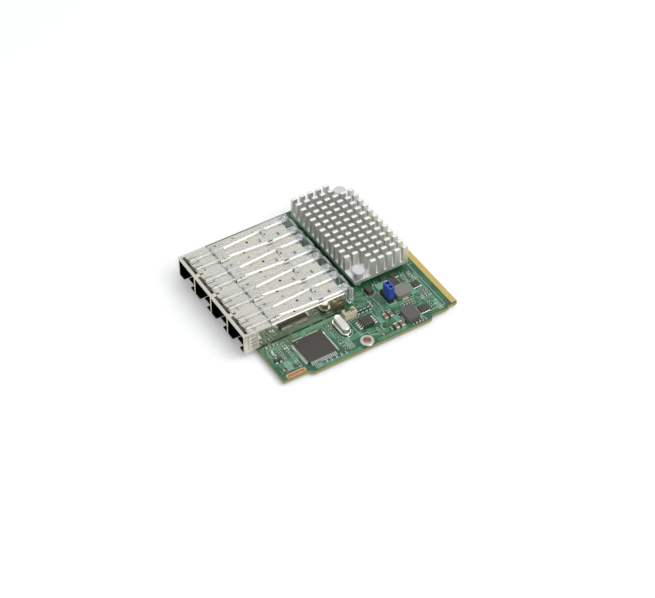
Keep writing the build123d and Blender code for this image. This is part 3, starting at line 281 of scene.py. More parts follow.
def laminate_table():
    """Melamine-faced board, pressed smooth: white, with the faintest cloud in it and a soft sheen."""
    material, tree, shader = surface("melamine_pressed", specular_ior_level=0.2)
    dress(tree, shader, grain(tree, 60), ("#f0f1f2", "#f4f5f6"), (0.6, 0.7))
    shader.inputs["Emission Color"].default_value = linear("#ffffff")
    glow = add(tree, "Math", {"operation": "MULTIPLY", 1: TABLE_GLOW}, {0: seeing_rays(tree)})
    tree.links.new(glow.outputs[0], shader.inputs["Emission Strength"])
    return material


half = TABLE_SIZE * MM / 2
sheet = bpy.data.meshes.new("table")
sheet.from_pydata([(-half, -half, cad_low[2]), (half, -half, cad_low[2]),
                   (half, half, cad_low[2]), (-half, half, cad_low[2])], [], [(0, 1, 2, 3)])
sheet.materials.append(laminate_table())
table = bpy.data.objects.new("table", sheet)
bpy.context.scene.collection.objects.link(table)
table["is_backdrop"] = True
print("table at", round(cad_low[2], 5), "m")

# %% [markdown]
# The board is woven glass cloth in epoxy under a green solder mask. From above, the mask is darker
# over bare laminate and paler over the copper planes inside. The sawn edge has no mask and shows
# the yellow glass and epoxy in layers. One material does both, and picks by which way a face looks.

# %% Board finish
CLOTH_THREAD = 0.5
COPPER_PATCH = 9.0
PLY_HEIGHT = 0.2
PLANE_RIM = (0.35, 0.45)
CLOTH_RELIEF = 0.01
MASK_ROUGHNESS = 0.34
SAWN_EDGE_ROUGHNESS = 0.75
MASK_COAT = {"coat_weight": 0.25, "coat_roughness": 0.2}
WAVE = math.pi / 10  # a wave texture of this scale repeats once in a unit of length


def masked_glass_epoxy():
    """Epoxy mask screened over copper and glass cloth: glossy green, cloudy between the planes."""
    material, tree, shader = surface("solder_mask_on_glass_epoxy", **MASK_COAT)
    place = add(tree, "TexCoord").outputs["Object"]
    patch = add(tree, "TexVoronoi", {"Scale": 1 / (COPPER_PATCH * MM)}, {"Vector": place})
    plane = add(tree, "MapRange", {"From Min": PLANE_RIM[0], "From Max": PLANE_RIM[1]},
                {"Value": patch.outputs["Distance"]})
    cloudy = blend(tree, grain(tree, 3.0), "#1a4d2f", "#235a39")
    green = blend(tree, plane.outputs[0], "#2a6541", cloudy)
    plies = {"bands_direction": "Z", "Scale": WAVE / (PLY_HEIGHT * MM), "Distortion": 0.4}
    ply = add(tree, "TexWave", plies, {"Vector": place})
    edge = blend(tree, ply.outputs["Fac"], "#7b7740", "#a0965a")
    flat = faces_up(tree)
    tree.links.new(blend(tree, flat, edge, green), shader.inputs["Base Color"])
    gloss = add(tree, "MapRange", {"To Min": SAWN_EDGE_ROUGHNESS, "To Max": MASK_ROUGHNESS}, {"Value": flat})
    tree.links.new(gloss.outputs[0], shader.inputs["Roughness"])
    thread = WAVE / (CLOTH_THREAD * MM)
    warp = add(tree, "TexWave", {"bands_direction": "X", "Scale": thread}, {"Vector": place})
    weft = add(tree, "TexWave", {"bands_direction": "Y", "Scale": thread}, {"Vector": place})
    cloth = add(tree, "Math", {"operation": "ADD"}, {0: warp.outputs["Fac"], 1: weft.outputs["Fac"]})
    bump = add(tree, "Bump", {"Strength": 0.5, "Distance": CLOTH_RELIEF * MM}, {"Height": cloth.outputs[0]})
    tree.links.new(bump.outputs[0], shader.inputs["Normal"])
    return material


def masked_copper():
    """Mask over a copper track: the same green, paler and a little proud of the board."""
    return plain_finish("solder_mask_on_copper", 2.0, ("#528f6b", "#72ab8a"), (0.3, 0.4), **MASK_COAT)


def mask_plug():
    """Mask sunk into a drilled via: a dark green dot. Laid under the cage, the same green is painted shade.
    """
    return plain_finish("solder_mask_dark_and_painted_shade", 0.4, ("#123522", "#18412c"), (0.4, 0.5))


def printed_ink():
    """Screen-printed epoxy ink: matt white, thin enough to let a little green through."""
    return plain_finish("epoxy_ink_screen_printed", 0.6, ("#b9cfbf", "#dce6dc"), (0.55, 0.7), 0.005)


laminate = masked_glass_epoxy()
track_mask = masked_copper()
dark_mask_and_painted_shade = mask_plug()
ink = printed_ink()
print("board finishes:", laminate.name, track_mask.name, dark_mask_and_painted_shade.name, ink.name)

# %% [markdown]
# The metals differ mostly in how they were made. Cage sheet is nickel-plated and rolled bright, so
# it mirrors the parts beside it, with painted shade in its ports and round its collar. The heat sink
# is extruded and etched dull, its pin tops are sawn smoother, and they are painted lighter as a
# highlight. Leads are tin-plated, contacts gold-plated, the spring is drawn wire.

# %% Metal finishes
SHEET_HALF = 0.1
COLLAR_SHADE = 7.0
WELD_BEHIND = 3.4
WELD_HALF = (0.5, 0.8)
EDGE_SHADOW = 0.35
CAGE_FOOT = extent("cage_floor")[0][2]
COLLAR_FRONT, COLLAR_REAR = (corner[1] for corner in extent("spring_collar"))
DIVIDERS = [f"cage_divider_{number}" for number in (1, 2, 3)]
BORE_REACH = 1.95
OUTSIDE = 1.0
BRIGHT_ROUGHNESS = 0.13
PORT_ROUGHNESS = 0.5
SCUFFED_METALLIC = 0.4
ROLLING_RELIEF = 0.0015
ETCHED_ROUGHNESS = 0.55
SAWN_TOP_ROUGHNESS = 0.4
ETCHED_RELIEF = 0.006


def sheet_shades_and_welds():
    """Boxes of painted shade on the sheet, under and around the collar and on the side wall, and brown
    welds.
    """
    left, right = cage_low[0] - SHEET_HALF, cage_high[0] + SHEET_HALF
    front, top = cage_low[1], cage_high[2]
    above = top + SHEET_HALF
    # Painted shade on the cover under the collar, and a painted shadow line behind the collar's rear edge.
    marks = [((left, front, cage_low[2] + SHEET_HALF), (right, front + COLLAR_SHADE, above), "#5d5a50"),
             ((left, COLLAR_REAR, top - SHEET_HALF), (right, COLLAR_REAR + EDGE_SHADOW, above), "#4a463d"),
             # Painted shade on the collar's front face, which is turned away from the softbox.
             ((left - OUTSIDE, COLLAR_FRONT, 0),
              (right + OUTSIDE, COLLAR_FRONT + SHEET_HALF / 2, top + OUTSIDE), "#827f75"),
             # Painted shade: the cage's side wall is coloured a little darker than its top.
             ((right - 2 * SHEET_HALF, front, 0), (right, cage_high[1], top - OUTSIDE), "#c3beb0")]
    for name in DIVIDERS:
        x = middle_of(name)[0]
        y = front + WELD_BEHIND
        marks.append(((x - WELD_HALF[0], y - WELD_HALF[1], above),
                      (x + WELD_HALF[0], y + WELD_HALF[1], top + OUTSIDE), "#7a5f36"))
    return marks


def rolled_nickel_sheet():
    """Nickel-plated copper alloy, rolled bright: a warm mirror outside, painted nearly black as shade in the
    ports.
    The bowed fingers on the collar's side are scuffed by the panel that they press on, and dull."""
    material, tree, shader = surface("nickel_silver_rolled", metallic=1.0)
    rolling = grain(tree, 0.5, (1, 30, 1))
    colour = blend(tree, rolling, "#d3cec0", "#dfdacd")
    for low, high, tone in sheet_shades_and_welds():
        colour = blend(tree, within(tree, low, high), colour, tone)
    # Painted shade: inside the ports the sheet is painted nearly black, and rougher.
    port_shade_low = (cage_low[0] + SHEET_HALF, cage_low[1], CAGE_FOOT + SHEET_HALF)
    port_shade_high = [value - SHEET_HALF for value in cage_high]
    inside = within(tree, port_shade_low, port_shade_high)
    tree.links.new(blend(tree, inside, colour, "#1b1a16"), shader.inputs["Base Color"])
    gloss = add(tree, "MapRange", {"To Min": BRIGHT_ROUGHNESS, "To Max": PORT_ROUGHNESS}, {"Value": inside})
    tree.links.new(gloss.outputs[0], shader.inputs["Roughness"])
    side_low = (cage_high[0] + SHEET_HALF, cage_low[1], CAGE_FOOT)
    side_high = (cage_high[0] + OUTSIDE, cage_low[1] + COLLAR_SHADE, cage_high[2])
    scuffed = within(tree, side_low, side_high)
    dulled = add(tree, "MapRange", {"To Min": 1.0, "To Max": SCUFFED_METALLIC}, {"Value": scuffed})
    tree.links.new(dulled.outputs[0], shader.inputs["Metallic"])
    bump = add(tree, "Bump", {"Distance": ROLLING_RELIEF * MM}, {"Height": rolling})
    tree.links.new(bump.outputs[0], shader.inputs["Normal"])
    return material


def etched_aluminium():
    """Extruded aluminium, etched dull on its sides and sawn smoother on top, with the tops painted lighter
    as a highlight.
    """
    material, tree, shader = surface("aluminium_extruded_etched", metallic=1.0)
    dull = blend(tree, grain(tree, 0.5, (1, 1, 8)), "#d6d5cf", "#e2e1db")
    # Painted highlight: the flat tops are coloured lighter than the upright sides, besides being smoother.
    sawn_top_painted_lighter = blend(tree, grain(tree, 0.15, (8, 1, 1)), "#eceae5", "#f7f6f2")
    up = faces_up(tree)
    tree.links.new(blend(tree, up, dull, sawn_top_painted_lighter), shader.inputs["Base Color"])
    gloss = add(tree, "MapRange", {"To Min": ETCHED_ROUGHNESS, "To Max": SAWN_TOP_ROUGHNESS}, {"Value": up})
    tree.links.new(gloss.outputs[0], shader.inputs["Roughness"])
    bump = add(tree, "Bump", {"Distance": ETCHED_RELIEF * MM}, {"Height": grain(tree, 0.2)})
    tree.links.new(bump.outputs[0], shader.inputs["Normal"])
    return material


def gold_plate():
    """Hard gold over nickel, plated on polished copper: yellow, smooth, softly worn."""
    return plain_finish("gold_electroplated", 0.8, ("#d6b35f", "#e6c980"), (0.28, 0.4), 0.002, metallic=1.0)


def tin_plate():
    """Tin, plated or reflowed: white metal with slightly pebbled gloss."""
    return plain_finish("tin_reflowed", 0.35, ("#cfcecb", "#e8e7e4"), (0.22, 0.4), 0.01, metallic=1.0)


def tinned_bush():
    """A turned brass bush, tinned outside, with the drilled bore left brown."""
    material, tree, shader = surface("brass_turned_tinned", metallic=1.0)
    to_axis = [-value * MM for value in middle_of("mounting_bush")] + [0]
    place = add(tree, "TexCoord").outputs["Object"]
    offset = add(tree, "Mapping", {"Location": to_axis, "Scale": (1, 1, 0)}, {"Vector": place})
    radius = add(tree, "VectorMath", {"operation": "LENGTH"}, {0: offset.outputs[0]}).outputs["Value"]
    bore = add(tree, "Math", {"operation": "LESS_THAN", 1: BORE_REACH * MM}, {0: radius}).outputs[0]
    ring = blend(tree, grain(tree, 0.4), "#bab8b2", "#d6d4ce")
    tree.links.new(blend(tree, bore, ring, "#c2987a"), shader.inputs["Base Color"])
    turned = grain(tree, 0.3, (1, 1, 0.3))
    gloss = add(tree, "MapRange", {"To Min": 0.25, "To Max": 0.45}, {"Value": turned})
    tree.links.new(gloss.outputs[0], shader.inputs["Roughness"])
    return material


def dull_solder():
    """Solder, reflowed round a small part: greyer than plating, a little grainy."""
    return plain_finish("solder_reflowed", 0.3, ("#a3a29d", "#c3c2bd"), (0.32, 0.48), 0.01, metallic=1.0)


def drawn_can_metal():
    """Nickel-plated steel, deep drawn: bright, with draw marks up its side."""
    return plain_finish("nickel_steel_drawn", 0.3, ("#dcd8cf", "#eeebe4"), (0.16, 0.28), 0.003,
                        stretch=(1, 1, 12), metallic=1.0)


def spring_wire():
    """Steel music wire, cold drawn: grey and bright along its length."""
    return plain_finish("steel_wire_drawn", 0.25, ("#a5a5a3", "#c2c2c0"), (0.25, 0.38), metallic=1.0)


def bare_copper():
    """Copper foil, etched and left bare: pink-brown, lightly tarnished."""
    return plain_finish("copper_foil_etched", 0.9, ("#c4946a", "#d4aa82"), (0.42, 0.58), 0.004,
                        metallic=0.7)


nickel_sheet = rolled_nickel_sheet()
aluminium = etched_aluminium()
gold = gold_plate()
tin = tin_plate()
solder_grey = dull_solder()
bush_metal = tinned_bush()
can_metal = drawn_can_metal()
wire = spring_wire()
copper = bare_copper()
metals = (nickel_sheet, aluminium, gold, tin, solder_grey, bush_metal, can_metal, wire, copper)
print("metal finishes:", ", ".join(metal.name for metal in metals))

# %% [markdown]
# Plastics, epoxies and ceramics are made from one recipe with different numbers: two close colours
# in a cloudy grain, a gloss range, and a shallow relief. Moulded chip epoxy is full of quartz grit,
# so its grain is fine and matt. The light guides are clear along their bars, where the vents show
# through, and a little milky in the legs behind the cage.

# %% Plastic, epoxy and ceramic finishes
BAR_CLEARNESS = 0.97
LEG_CLEARNESS = 0.8
NYLON_DEPTH = 0.5


def clear_polycarbonate():
    """Polycarbonate, injection moulded: bars that show the sheet and vents under them, milky legs."""
    material, tree, shader = surface("polycarbonate_moulded_clear", ior=1.585)
    dress(tree, shader, grain(tree, 1.5), ("#fafaf9", "#ffffff"), (0.0, 0.02))
    legs = within(tree, (cage_low[0], cage_high[1], BOARD_TOP), (cage_high[0], sink_low[1], sink_high[2]))
    clearness = add(tree, "MapRange", {"To Min": BAR_CLEARNESS, "To Max": LEG_CLEARNESS}, {"Value": legs})
    tree.links.new(clearness.outputs[0], shader.inputs["Transmission Weight"])
    return material


def lamp_resin():
    """Diffusing epoxy of a surface lamp, cast: milky and waxy."""
    return plain_finish("epoxy_cast_milky", 0.3, ("#e9e4cf", "#f3efdf"), (0.3, 0.4), subsurface_weight=0.3)


def chip_epoxy():
    """Quartz-filled epoxy, transfer moulded: warm charcoal, matt, with a fine grit."""
    return plain_finish("epoxy_transfer_moulded", 0.12, ("#37342f", "#4a4741"), (0.5, 0.68), 0.008)


def black_nylon():
    """Glass-filled nylon, injection moulded: black with a soft sheen."""
    return plain_finish("nylon_moulded_black", 0.3, ("#171716", "#242322"), (0.42, 0.55), 0.005)


def white_nylon():
    """Nylon push pin, injection moulded: cool white, waxy."""
    return plain_finish("nylon_moulded_white", 0.6, ("#cfced2", "#dddce0"), (0.36, 0.48), 0.004,
                        subsurface_weight=0.12, subsurface_scale=NYLON_DEPTH * MM)


def ivory_nylon():
    """Natural nylon, injection moulded: ivory, waxy."""
    return plain_finish("nylon_moulded_ivory", 0.5, ("#cfc5a8", "#ddd4bb"), (0.4, 0.52), 0.004,
                        subsurface_weight=0.1, subsurface_scale=NYLON_DEPTH * MM)


def blue_polyester():
    """Polyester, injection moulded: strong blue with a clean gloss."""
    return plain_finish("polyester_moulded_blue", 0.5, ("#243f9c", "#3053b4"), (0.28, 0.42), 0.004)


def pressed_powder(name, colours):
    """Iron powder with binder, pressed: dry grey with visible grains."""
    return plain_finish(name, 0.22, colours, (0.62, 0.8), 0.02, detail=5.0)


def fired_ceramic():
    """Barium titanate, fired: biscuit brown with a slight glaze."""
    return plain_finish("ceramic_fired_brown", 0.25, ("#7d6148", "#947659"), (0.38, 0.5), 0.006)


def black_glaze():
    """Overglaze of a film resistor, fired: black and glassy."""
    return plain_finish("glaze_fired_black", 0.2, ("#141414", "#22211f"), (0.2, 0.34), 0.003)


def silicone_pad():
    """Filled silicone, calendered: soft grey and dull."""
    return plain_finish("silicone_calendered_grey", 0.5, ("#9a9c9f", "#a9abae"), (0.7, 0.85), 0.01)


clear_plastic = clear_polycarbonate()
lamp = lamp_resin()
epoxy = chip_epoxy()
black_plastic = black_nylon()
push_nylon = white_nylon()
ivory = ivory_nylon()
blue = blue_polyester()
pale_powder = pressed_powder("iron_powder_pressed_pale", ("#787672", "#8d8b86"))
dark_powder = pressed_powder("iron_powder_pressed_dark", ("#524f4c", "#686561"))
ceramic = fired_ceramic()
glaze = black_glaze()
silicone = silicone_pad()
print("plastic and ceramic finishes ready")

# %% [markdown]
# Each solid piece now gets its finish. The table below lists them by what they are made of, and
# the loop checks that no piece is left out.

# %% Give the solid pieces their finishes
PORTS = range(1, 5)
finishes = {
    laminate: ["circuit_board"],
    nickel_sheet: ["cage_cover", "cage_floor", "spring_collar", *DIVIDERS],
    clear_plastic: [f"light_guide_{port}" for port in PORTS],
    black_plastic: [f"module_socket_{port}" for port in PORTS] + ["jumper_base", "crystal_seat"],
    gold: ["edge_contacts_top", "edge_contacts_bottom", "socket_contacts", "jumper_pins"],
    aluminium: ["heat_sink"],
    silicone: ["thermal_pad"],
    epoxy: ["network_controller", "flat_pack", "memory_chip", "regulator_a", "regulator_b", "regulator_c",
            "leadless_chips", "diode", "transistor"],
    tin: ["flat_pack_leads", "memory_leads", "transistor_leads", "crystal_feet", "header_pins",
          "large_capacitor_ends", "small_capacitor_ends", "resistor_ends"],
    solder_grey: ["inductor_terminals"],
    bush_metal: ["mounting_bush"],
    push_nylon: ["push_pin_1", "push_pin_2"],
    wire: ["push_spring_1", "push_spring_2"],
    can_metal: ["crystal_can"],
    ivory: ["header_housing"],
    blue: ["jumper_cap"],
    pale_powder: ["inductor_1"],
    dark_powder: ["inductor_2"],
    ceramic: ["large_capacitors", "small_capacitors"],
    glaze: ["resistors"],
    lamp: ["status_lamps"],
    copper: ["test_strip"],
}
dressed = set()
for material, names in finishes.items():
    for name in names:
        nodes[name].data.materials.clear()
        nodes[name].data.materials.append(material)
        dressed.add(name)
print("dressed", len(dressed), "of", len(nodes), "left:", sorted(set(nodes) - dressed))

# %% [markdown]
# No real edge is perfectly sharp, and a thin bright line along an edge is what tells the eye that a
# thing is solid. A weld joins the corners of the imported faces, and a small bevel then rounds them.
# The widths are near the real ones: a tenth of a millimetre on sawn aluminium, less on small chips
# and up to a fifth on drawn and moulded corners.

# %% Round the sharp edges
EDGE_ROUNDS = {
    "heat_sink": 0.12,
    "jumper_cap": 0.18,
    "header_housing": 0.08,
    "inductor_1": 0.15,
    "inductor_2": 0.15,
    "large_capacitors": 0.08,
    "large_capacitor_ends": 0.12,
    "small_capacitor_ends": 0.06,
    "crystal_can": 0.2,
    **{f"light_guide_{port}": 0.1 for port in PORTS},
}
WELD_REACH = 0.002
ROUND_STEPS = 2
SHARP_ANGLE = 40


def round_edges(piece, width):
    """Welds a piece's corners and rounds its sharp edges by a width in millimetres."""
    weld = piece.modifiers.new("weld", "WELD")
    weld.merge_threshold = WELD_REACH * MM
    bevel = piece.modifiers.new("bevel", "BEVEL")
    bevel.width = width * MM
    bevel.segments = ROUND_STEPS
    bevel.limit_method = "ANGLE"
    bevel.angle_limit = math.radians(SHARP_ANGLE)


for name, width in EDGE_ROUNDS.items():
    round_edges(nodes[name], width)
print("rounded", len(EDGE_ROUNDS), "solid pieces")

# %% [markdown]
# A clear guide lies on the sheet with a hair of air between them. In the solids the two faces are at
# one level, where a ray can't tell which comes first and the guide turns grey. Drawing each guide in
# by a few hundredths of a millimetre gives the air gap back.

# %% The air gap under the light guides
AIR_GAP = 0.04
for port in PORTS:
    draw_in = nodes[f"light_guide_{port}"].modifiers.new("draw_in", "DISPLACE")
    draw_in.mid_level = 0
    draw_in.strength = -AIR_GAP * MM
print("guides drawn in by", AIR_GAP, "mm")

# %% [markdown]
# Everything printed, etched or soldered on the board is a low prism: an outline in the plane of the
# board, raised a little. One function makes a piece from many such outlines, and can draw them in
# towards the top, as solder does. A few short functions give the outlines.

# %% Prism helpers


def rectangle(place, width, depth):
    """The corners of an upright rectangle about a place."""
    x, y = place
    across, along = width / 2, depth / 2
    left, right, front, rear = x - across, x + across, y - along, y + along
    return [(left, front), (right, front), (right, rear), (left, rear)]


def disc(place, radius, sides=14):
    """The corners of a round outline about a place."""
    turns = [2 * math.pi * side / sides for side in range(sides)]
    return [(place[0] + radius * math.cos(turn), place[1] + radius * math.sin(turn)) for turn in turns]


def beside(points, distance):
    """A route moved sideways, with its corners kept sharp."""
    moved = []
    for index, point in enumerate(points):
        before = Vector(points[max(index, 1)]) - Vector(points[max(index, 1) - 1])
        last = min(index, len(points) - 2)
        after = Vector(points[last + 1]) - Vector(points[last])
        sideways = [Vector((-run.y, run.x)).normalized() for run in (before, after)]
        corner = (sideways[0] + sideways[1]).normalized()
        moved.append(Vector(point) + corner * distance / corner.dot(sideways[0]))
    return moved


def strip(points, width):
    """The outline of a strip along a route."""
    return beside(points, -width / 2) + beside(points, width / 2)[::-1]


def make_piece(name, points, faces, material):
    """Makes a piece from points in millimetres, gives it a finish and fixes it to the card."""
    mesh = bpy.data.meshes.new(name)
    mesh.from_pydata([[value * MM for value in point] for point in points], [], faces)
    mesh.materials.append(material)
    piece = bpy.data.objects.new(name, mesh)
    bpy.context.scene.collection.objects.link(piece)
    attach(piece, "root")
    print(f"{name}: {len(faces)} faces")
    return piece


def prisms(name, outlines, low, high, material, slot, low_scale=1.0, high_scale=1.0):
    """One piece of upright prisms between two levels, each end scaled about its middle."""
    points = []
    faces = []
    for outline in outlines:
        first = len(points)
        count = len(outline)
        middle_x = sum(x for x, y in outline) / count
        middle_y = sum(y for x, y in outline) / count
        for level, scale in ((low, low_scale), (high, high_scale)):
            points += [(middle_x + scale * (x - middle_x), middle_y + scale * (y - middle_y), level)
                       for x, y in outline]
        faces.append([first + index for index in reversed(range(count))])
        faces.append([first + count + index for index in range(count)])
        for index in range(count):
            this, following = first + index, first + (index + 1) % count
            faces.append([this, following, following + count, this + count])
    return make_piece(name, points, faces, material)


def on_board(name, outlines, height, material, slot, high_scale=1.0):
    """One piece of prisms of one height that stand on the board's top."""
    return prisms(name, outlines, BOARD_TOP, BOARD_TOP + height, material, slot, high_scale=high_scale)


print("prism helpers ready")

# %% [markdown]
# Behind the cage a thin upright web joins the two legs of each guide and reaches a little past them,
# so from above the row of legs looks like one milky band. The webs are prisms of the same plastic,
# cut off beside each leg by the same hair of air.

# %% Webs between the legs of the light guides
BAR_WIDTH = 3.0
WEB_DEPTH = 1.0
WEB_INSET = 0.3
WEB_REACH = 1.2
WEB_RISE = 0.4
WEB_DROP = 6.4

leg_webs = []
for port in PORTS:
    guide_low, guide_high = extent(f"light_guide_{port}")
    web_y = guide_high[1] - WEB_INSET - WEB_DEPTH / 2
    middle = middle_of(f"light_guide_{port}")[0]
    between = guide_high[0] - guide_low[0] - 2 * BAR_WIDTH
    leg_webs.append(rectangle((middle, web_y), between - 2 * AIR_GAP, WEB_DEPTH))
    for x in (guide_low[0] - WEB_REACH / 2, guide_high[0] + WEB_REACH / 2):
        leg_webs.append(rectangle((x, web_y), WEB_REACH, WEB_DEPTH))
prisms("guide_leg_webs", leg_webs, cage_high[2] - WEB_DROP, cage_high[2] + WEB_RISE, clear_plastic,
       "clear_plastic")

# %% [markdown]
# Copper tracks run in bundles: from the sockets to the controller in close pairs, from the chips to
# each other in parallel, and from the controller to the edge contacts. Real tracks are about 0.13 mm
# wide, too fine to show here, so they are drawn 0.22 mm wide. Each lies under the mask as a low ridge.

# %% Copper tracks
TRACK_WIDTH = 0.22
TRACK_HEIGHT = 0.025
# A bundle is a route, a number of tracks and their pitch.
BUNDLES = [
    ([(9.0, 29.4), (9.0, 30.8), (15.6, 37.4), (15.6, 43.0)], 6, 0.5),
    ([(20.4, 18.6), (21.2, 18.6), (22.9, 20.3), (22.9, 38.0)], 5, 0.42),
    ([(4.2, 21.0), (3.0, 21.0), (1.5, 22.5), (1.5, 39.5)], 5, 0.42),
    ([(12.0, 12.9), (12.0, 11.6), (14.2, 9.4), (14.2, 3.2)], 7, 0.5),
    ([(6.2, 13.0), (6.2, 12.0), (3.6, 9.4), (3.6, 2.6)], 4, 0.5),
    ([(10.4, 52.4), (10.4, 54.4), (7.4, 57.4), (7.4, 62.0)], 4, 0.55),
    ([(15.0, 46.6), (18.6, 46.6), (19.8, 47.8), (19.8, 54.0)], 4, 0.5),
    ([(22.7, 47.0), (22.7, 62.0)], 4, 0.45),
    ([(-5.2, 45.0), (-5.2, 50.4), (-1.4, 54.2), (-1.4, 57.2)], 5, 0.5),
    ([(9.4, 60.6), (9.4, 74.4), (12.6, 77.6), (12.6, 81.6)], 4, 0.5),
    ([(0.0, 66.5), (0.0, 75.5), (2.0, 75.5), (5.4, 78.9), (5.4, 81.6)], 3, 0.5),
    ([(13.4, 62.0), (13.4, 70.0), (14.4, 71.0), (14.4, 76.0)], 3, 0.45),
    ([(-62.0, 8.0), (-62.0, 52.0), (-57.0, 57.0)], 8, 0.6),
]
PAIR_GAP = 0.42
PAIRS_PER_PORT = 4
PAIR_PITCH = 1.5
CONTACT_LINES = 10
CONTACT_LINE_PITCH = 2.0
CONTACT_LINE_INSET = 1.0
CONTACT_LINE_GAPS = (0.6, 0.4)
PAIR_START = 0.4
PAIR_UNDER_SINK = 2.0

tracks = []
track_ends = []
for route, count, pitch in BUNDLES:
    placed = [spot(*point) for point in route]
    for index in range(count):
        line = beside(placed, (index - (count - 1) / 2) * pitch)
        tracks.append(strip(line, TRACK_WIDTH))
        track_ends += [line[0], line[-1]]
for port in PORTS:
    middle = middle_of(f"light_guide_{port}")[0]
    for pair in range(PAIRS_PER_PORT):
        x = middle + (pair - (PAIRS_PER_PORT - 1) / 2) * PAIR_PITCH
        for side in (-1, 1):
            track_x = x + side * PAIR_GAP / 2
            ends = [(track_x, cage_high[1] + PAIR_START), (track_x, sink_low[1] + PAIR_UNDER_SINK)]
            tracks.append(strip(ends, TRACK_WIDTH))
contacts_low, contacts_high = extent("edge_contacts_top")
line_front = sink_high[1] + CONTACT_LINE_GAPS[0]
line_rear = contacts_low[1] - CONTACT_LINE_GAPS[1]
for index in range(CONTACT_LINES):
    x = sink_high[0] - CONTACT_LINE_INSET - index * CONTACT_LINE_PITCH
    for side in (-1, 1):
        track_x = x + side * PAIR_GAP / 2
        tracks.append(strip([(track_x, line_front), (track_x, line_rear)], TRACK_WIDTH))
on_board("copper_tracks", tracks, TRACK_HEIGHT, track_mask, "board_laminate")

# %% [markdown]
# The mask stops short of the edge contacts, so that a socket's springs meet no step. In the window
# the bare board shows between the contacts, the yellow of glass and epoxy, lower than the gold.

# %% The window in the mask round the contacts
CONTACT_PITCH = 1.0
CONTACT_WIDTH = 0.8
RIGHT_BANK = 38
LEFT_BANK = 11
WINDOW_HEIGHT = 0.02


def bare_glass_epoxy():
    """Glass cloth in epoxy with no mask on it: a dull yellow with the cloth just showing."""
    return plain_finish("glass_epoxy_laminated_bare", CLOTH_THREAD, ("#9a8e54", "#b0a468"), (0.5, 0.65))


bare_laminate = bare_glass_epoxy()
windows = []
for count, end, way in ((RIGHT_BANK, contacts_high[0], -1), (LEFT_BANK, contacts_low[0], 1)):
    bank = (count - 1) * CONTACT_PITCH + CONTACT_WIDTH
    place = (end + way * bank / 2, middle_of("edge_contacts_top")[1])
    windows.append(rectangle(place, bank, contacts_high[1] - contacts_low[1]))
for face, low, high in (("top", BOARD_TOP, BOARD_TOP + WINDOW_HEIGHT),
                        ("bottom", BOARD_BOTTOM - WINDOW_HEIGHT, BOARD_BOTTOM)):
    prisms(f"contact_window_{face}", windows, low, high, bare_laminate, "board_laminate")

# %% [markdown]
# Wide copper areas carry the supply currents between the inductors, regulators and capacitors.
# Under the mask they read as paler green fields with straight sides. Beneath the cage the board is
# painted the darkest green of the via plugs, a painted shadow that makes the gap under the wall look black.

# %% Supply planes and the painted shade under the cage
PLANE_HEIGHT = 0.015
# A plane is the place of its middle, its width and its depth.
PLANES = [
    ((4.5, 76.0), 6.0, 3.0),
    ((18.0, 70.3), 7.6, 1.8),
    ((18.2, 60.6), 8.4, 2.6),
    ((13.0, 54.4), 4.2, 2.2),
    ((2.0, 81.2), 7.0, 1.6),
    ((-4.0, 66.0), 4.4, 5.6),
    ((4.2, 63.8), 9.4, 4.0),
    ((18.0, 80.6), 6.6, 2.6),
    ((20.4, 10.6), 2.0, 2.6),
]
planes = [rectangle(spot(*place), width, depth) for place, width, depth in PLANES]
on_board("supply_planes", planes, PLANE_HEIGHT, track_mask, "board_laminate")
shade_depth = cage_high[1] - board_low[1]
shade_place = (middle_of("cage_cover")[0], board_low[1] + shade_depth / 2)
painted_shade_under_cage = rectangle(shade_place, cage_high[0] - cage_low[0], shade_depth)
# Painted shadow: the field under the cage is given the dark via green.
on_board("painted_shade_under_cage", [painted_shade_under_cage], PLANE_HEIGHT, dark_mask_and_painted_shade, "board_laminate")

# %% [markdown]
# Tiny capacitors and resistors fill the board in short rows. Each has a body, two tinned ends and a
# collar of solder at each end that slopes down to its pad. Which of a row are capacitors, which are
# resistors and which pads were left empty is drawn by a fixed seed, so a row looks as mixed as on a
# real board. All of one kind are joined in one piece.

# %% Rows of small capacitors and resistors
CAPACITOR_SIZE = (1.05, 0.55, 0.55)
RESISTOR_SIZE = (1.05, 0.55, 0.4)
END_LENGTH = 0.25
BODY_WIDTH_SHARE = 0.96
BODY_HEIGHT_SHARE = 0.97
PART_ROUND = 0.05
SOLDER_MARGIN = 0.12
SOLDER_HEIGHT = 0.2
SOLDER_TOP_SHARE = 0.6
PAD_HEIGHT = 0.03
EMPTY_SHARE = 0.12
CAPACITOR_SHARE = 0.5
# A row is its first place, the step to the next, a count and the parts' long axis.
PART_ROWS = [
    ((4.6, 32.3), (1.9, 0), 9, "y"),
    ((2.8, 10.6), (1.6, 0), 6, "y"),
    ((21.6, 21.4), (0, 2.4), 5, "x"),
    ((-1.9, 60.5), (1.75, 0), 1, "y"),
    ((-5.2, 76.8), (1.35, 0), 5, "y"),
    ((22.6, 63.0), (0, 1.6), 6, "x"),
    ((1.8, 3.4), (0, 1.7), 4, "x"),
    ((14.9, 77.6), (1.5, 0), 3, "y"),
    ((5.4, 7.2), (1.5, 0), 5, "y"),
    ((4.4, 4.4), (1.5, 0), 3, "x"),
    ((13.6, 10.6), (1.5, 0), 4, "y"),
    ((7.0, 77.6), (1.4, 0), 3, "y"),
    ((7.0, 81.0), (1.4, 0), 4, "y"),
    ((11.0, 76.2), (0, 1.4), 4, "x"),
    ((17.4, 79.9), (1.5, 0), 3, "y"),
    ((-5.2, 80.2), (1.35, 0), 5, "y"),
    ((-6.6, 62.4), (0, 1.5), 3, "x"),
    ((0.6, 55.2), (1.6, 0), 3, "x"),
    ((13.0, 62.6), (1.5, 0), 3, "y"),
    ((9.4, 57.6), (0, 1.5), 3, "x"),
]


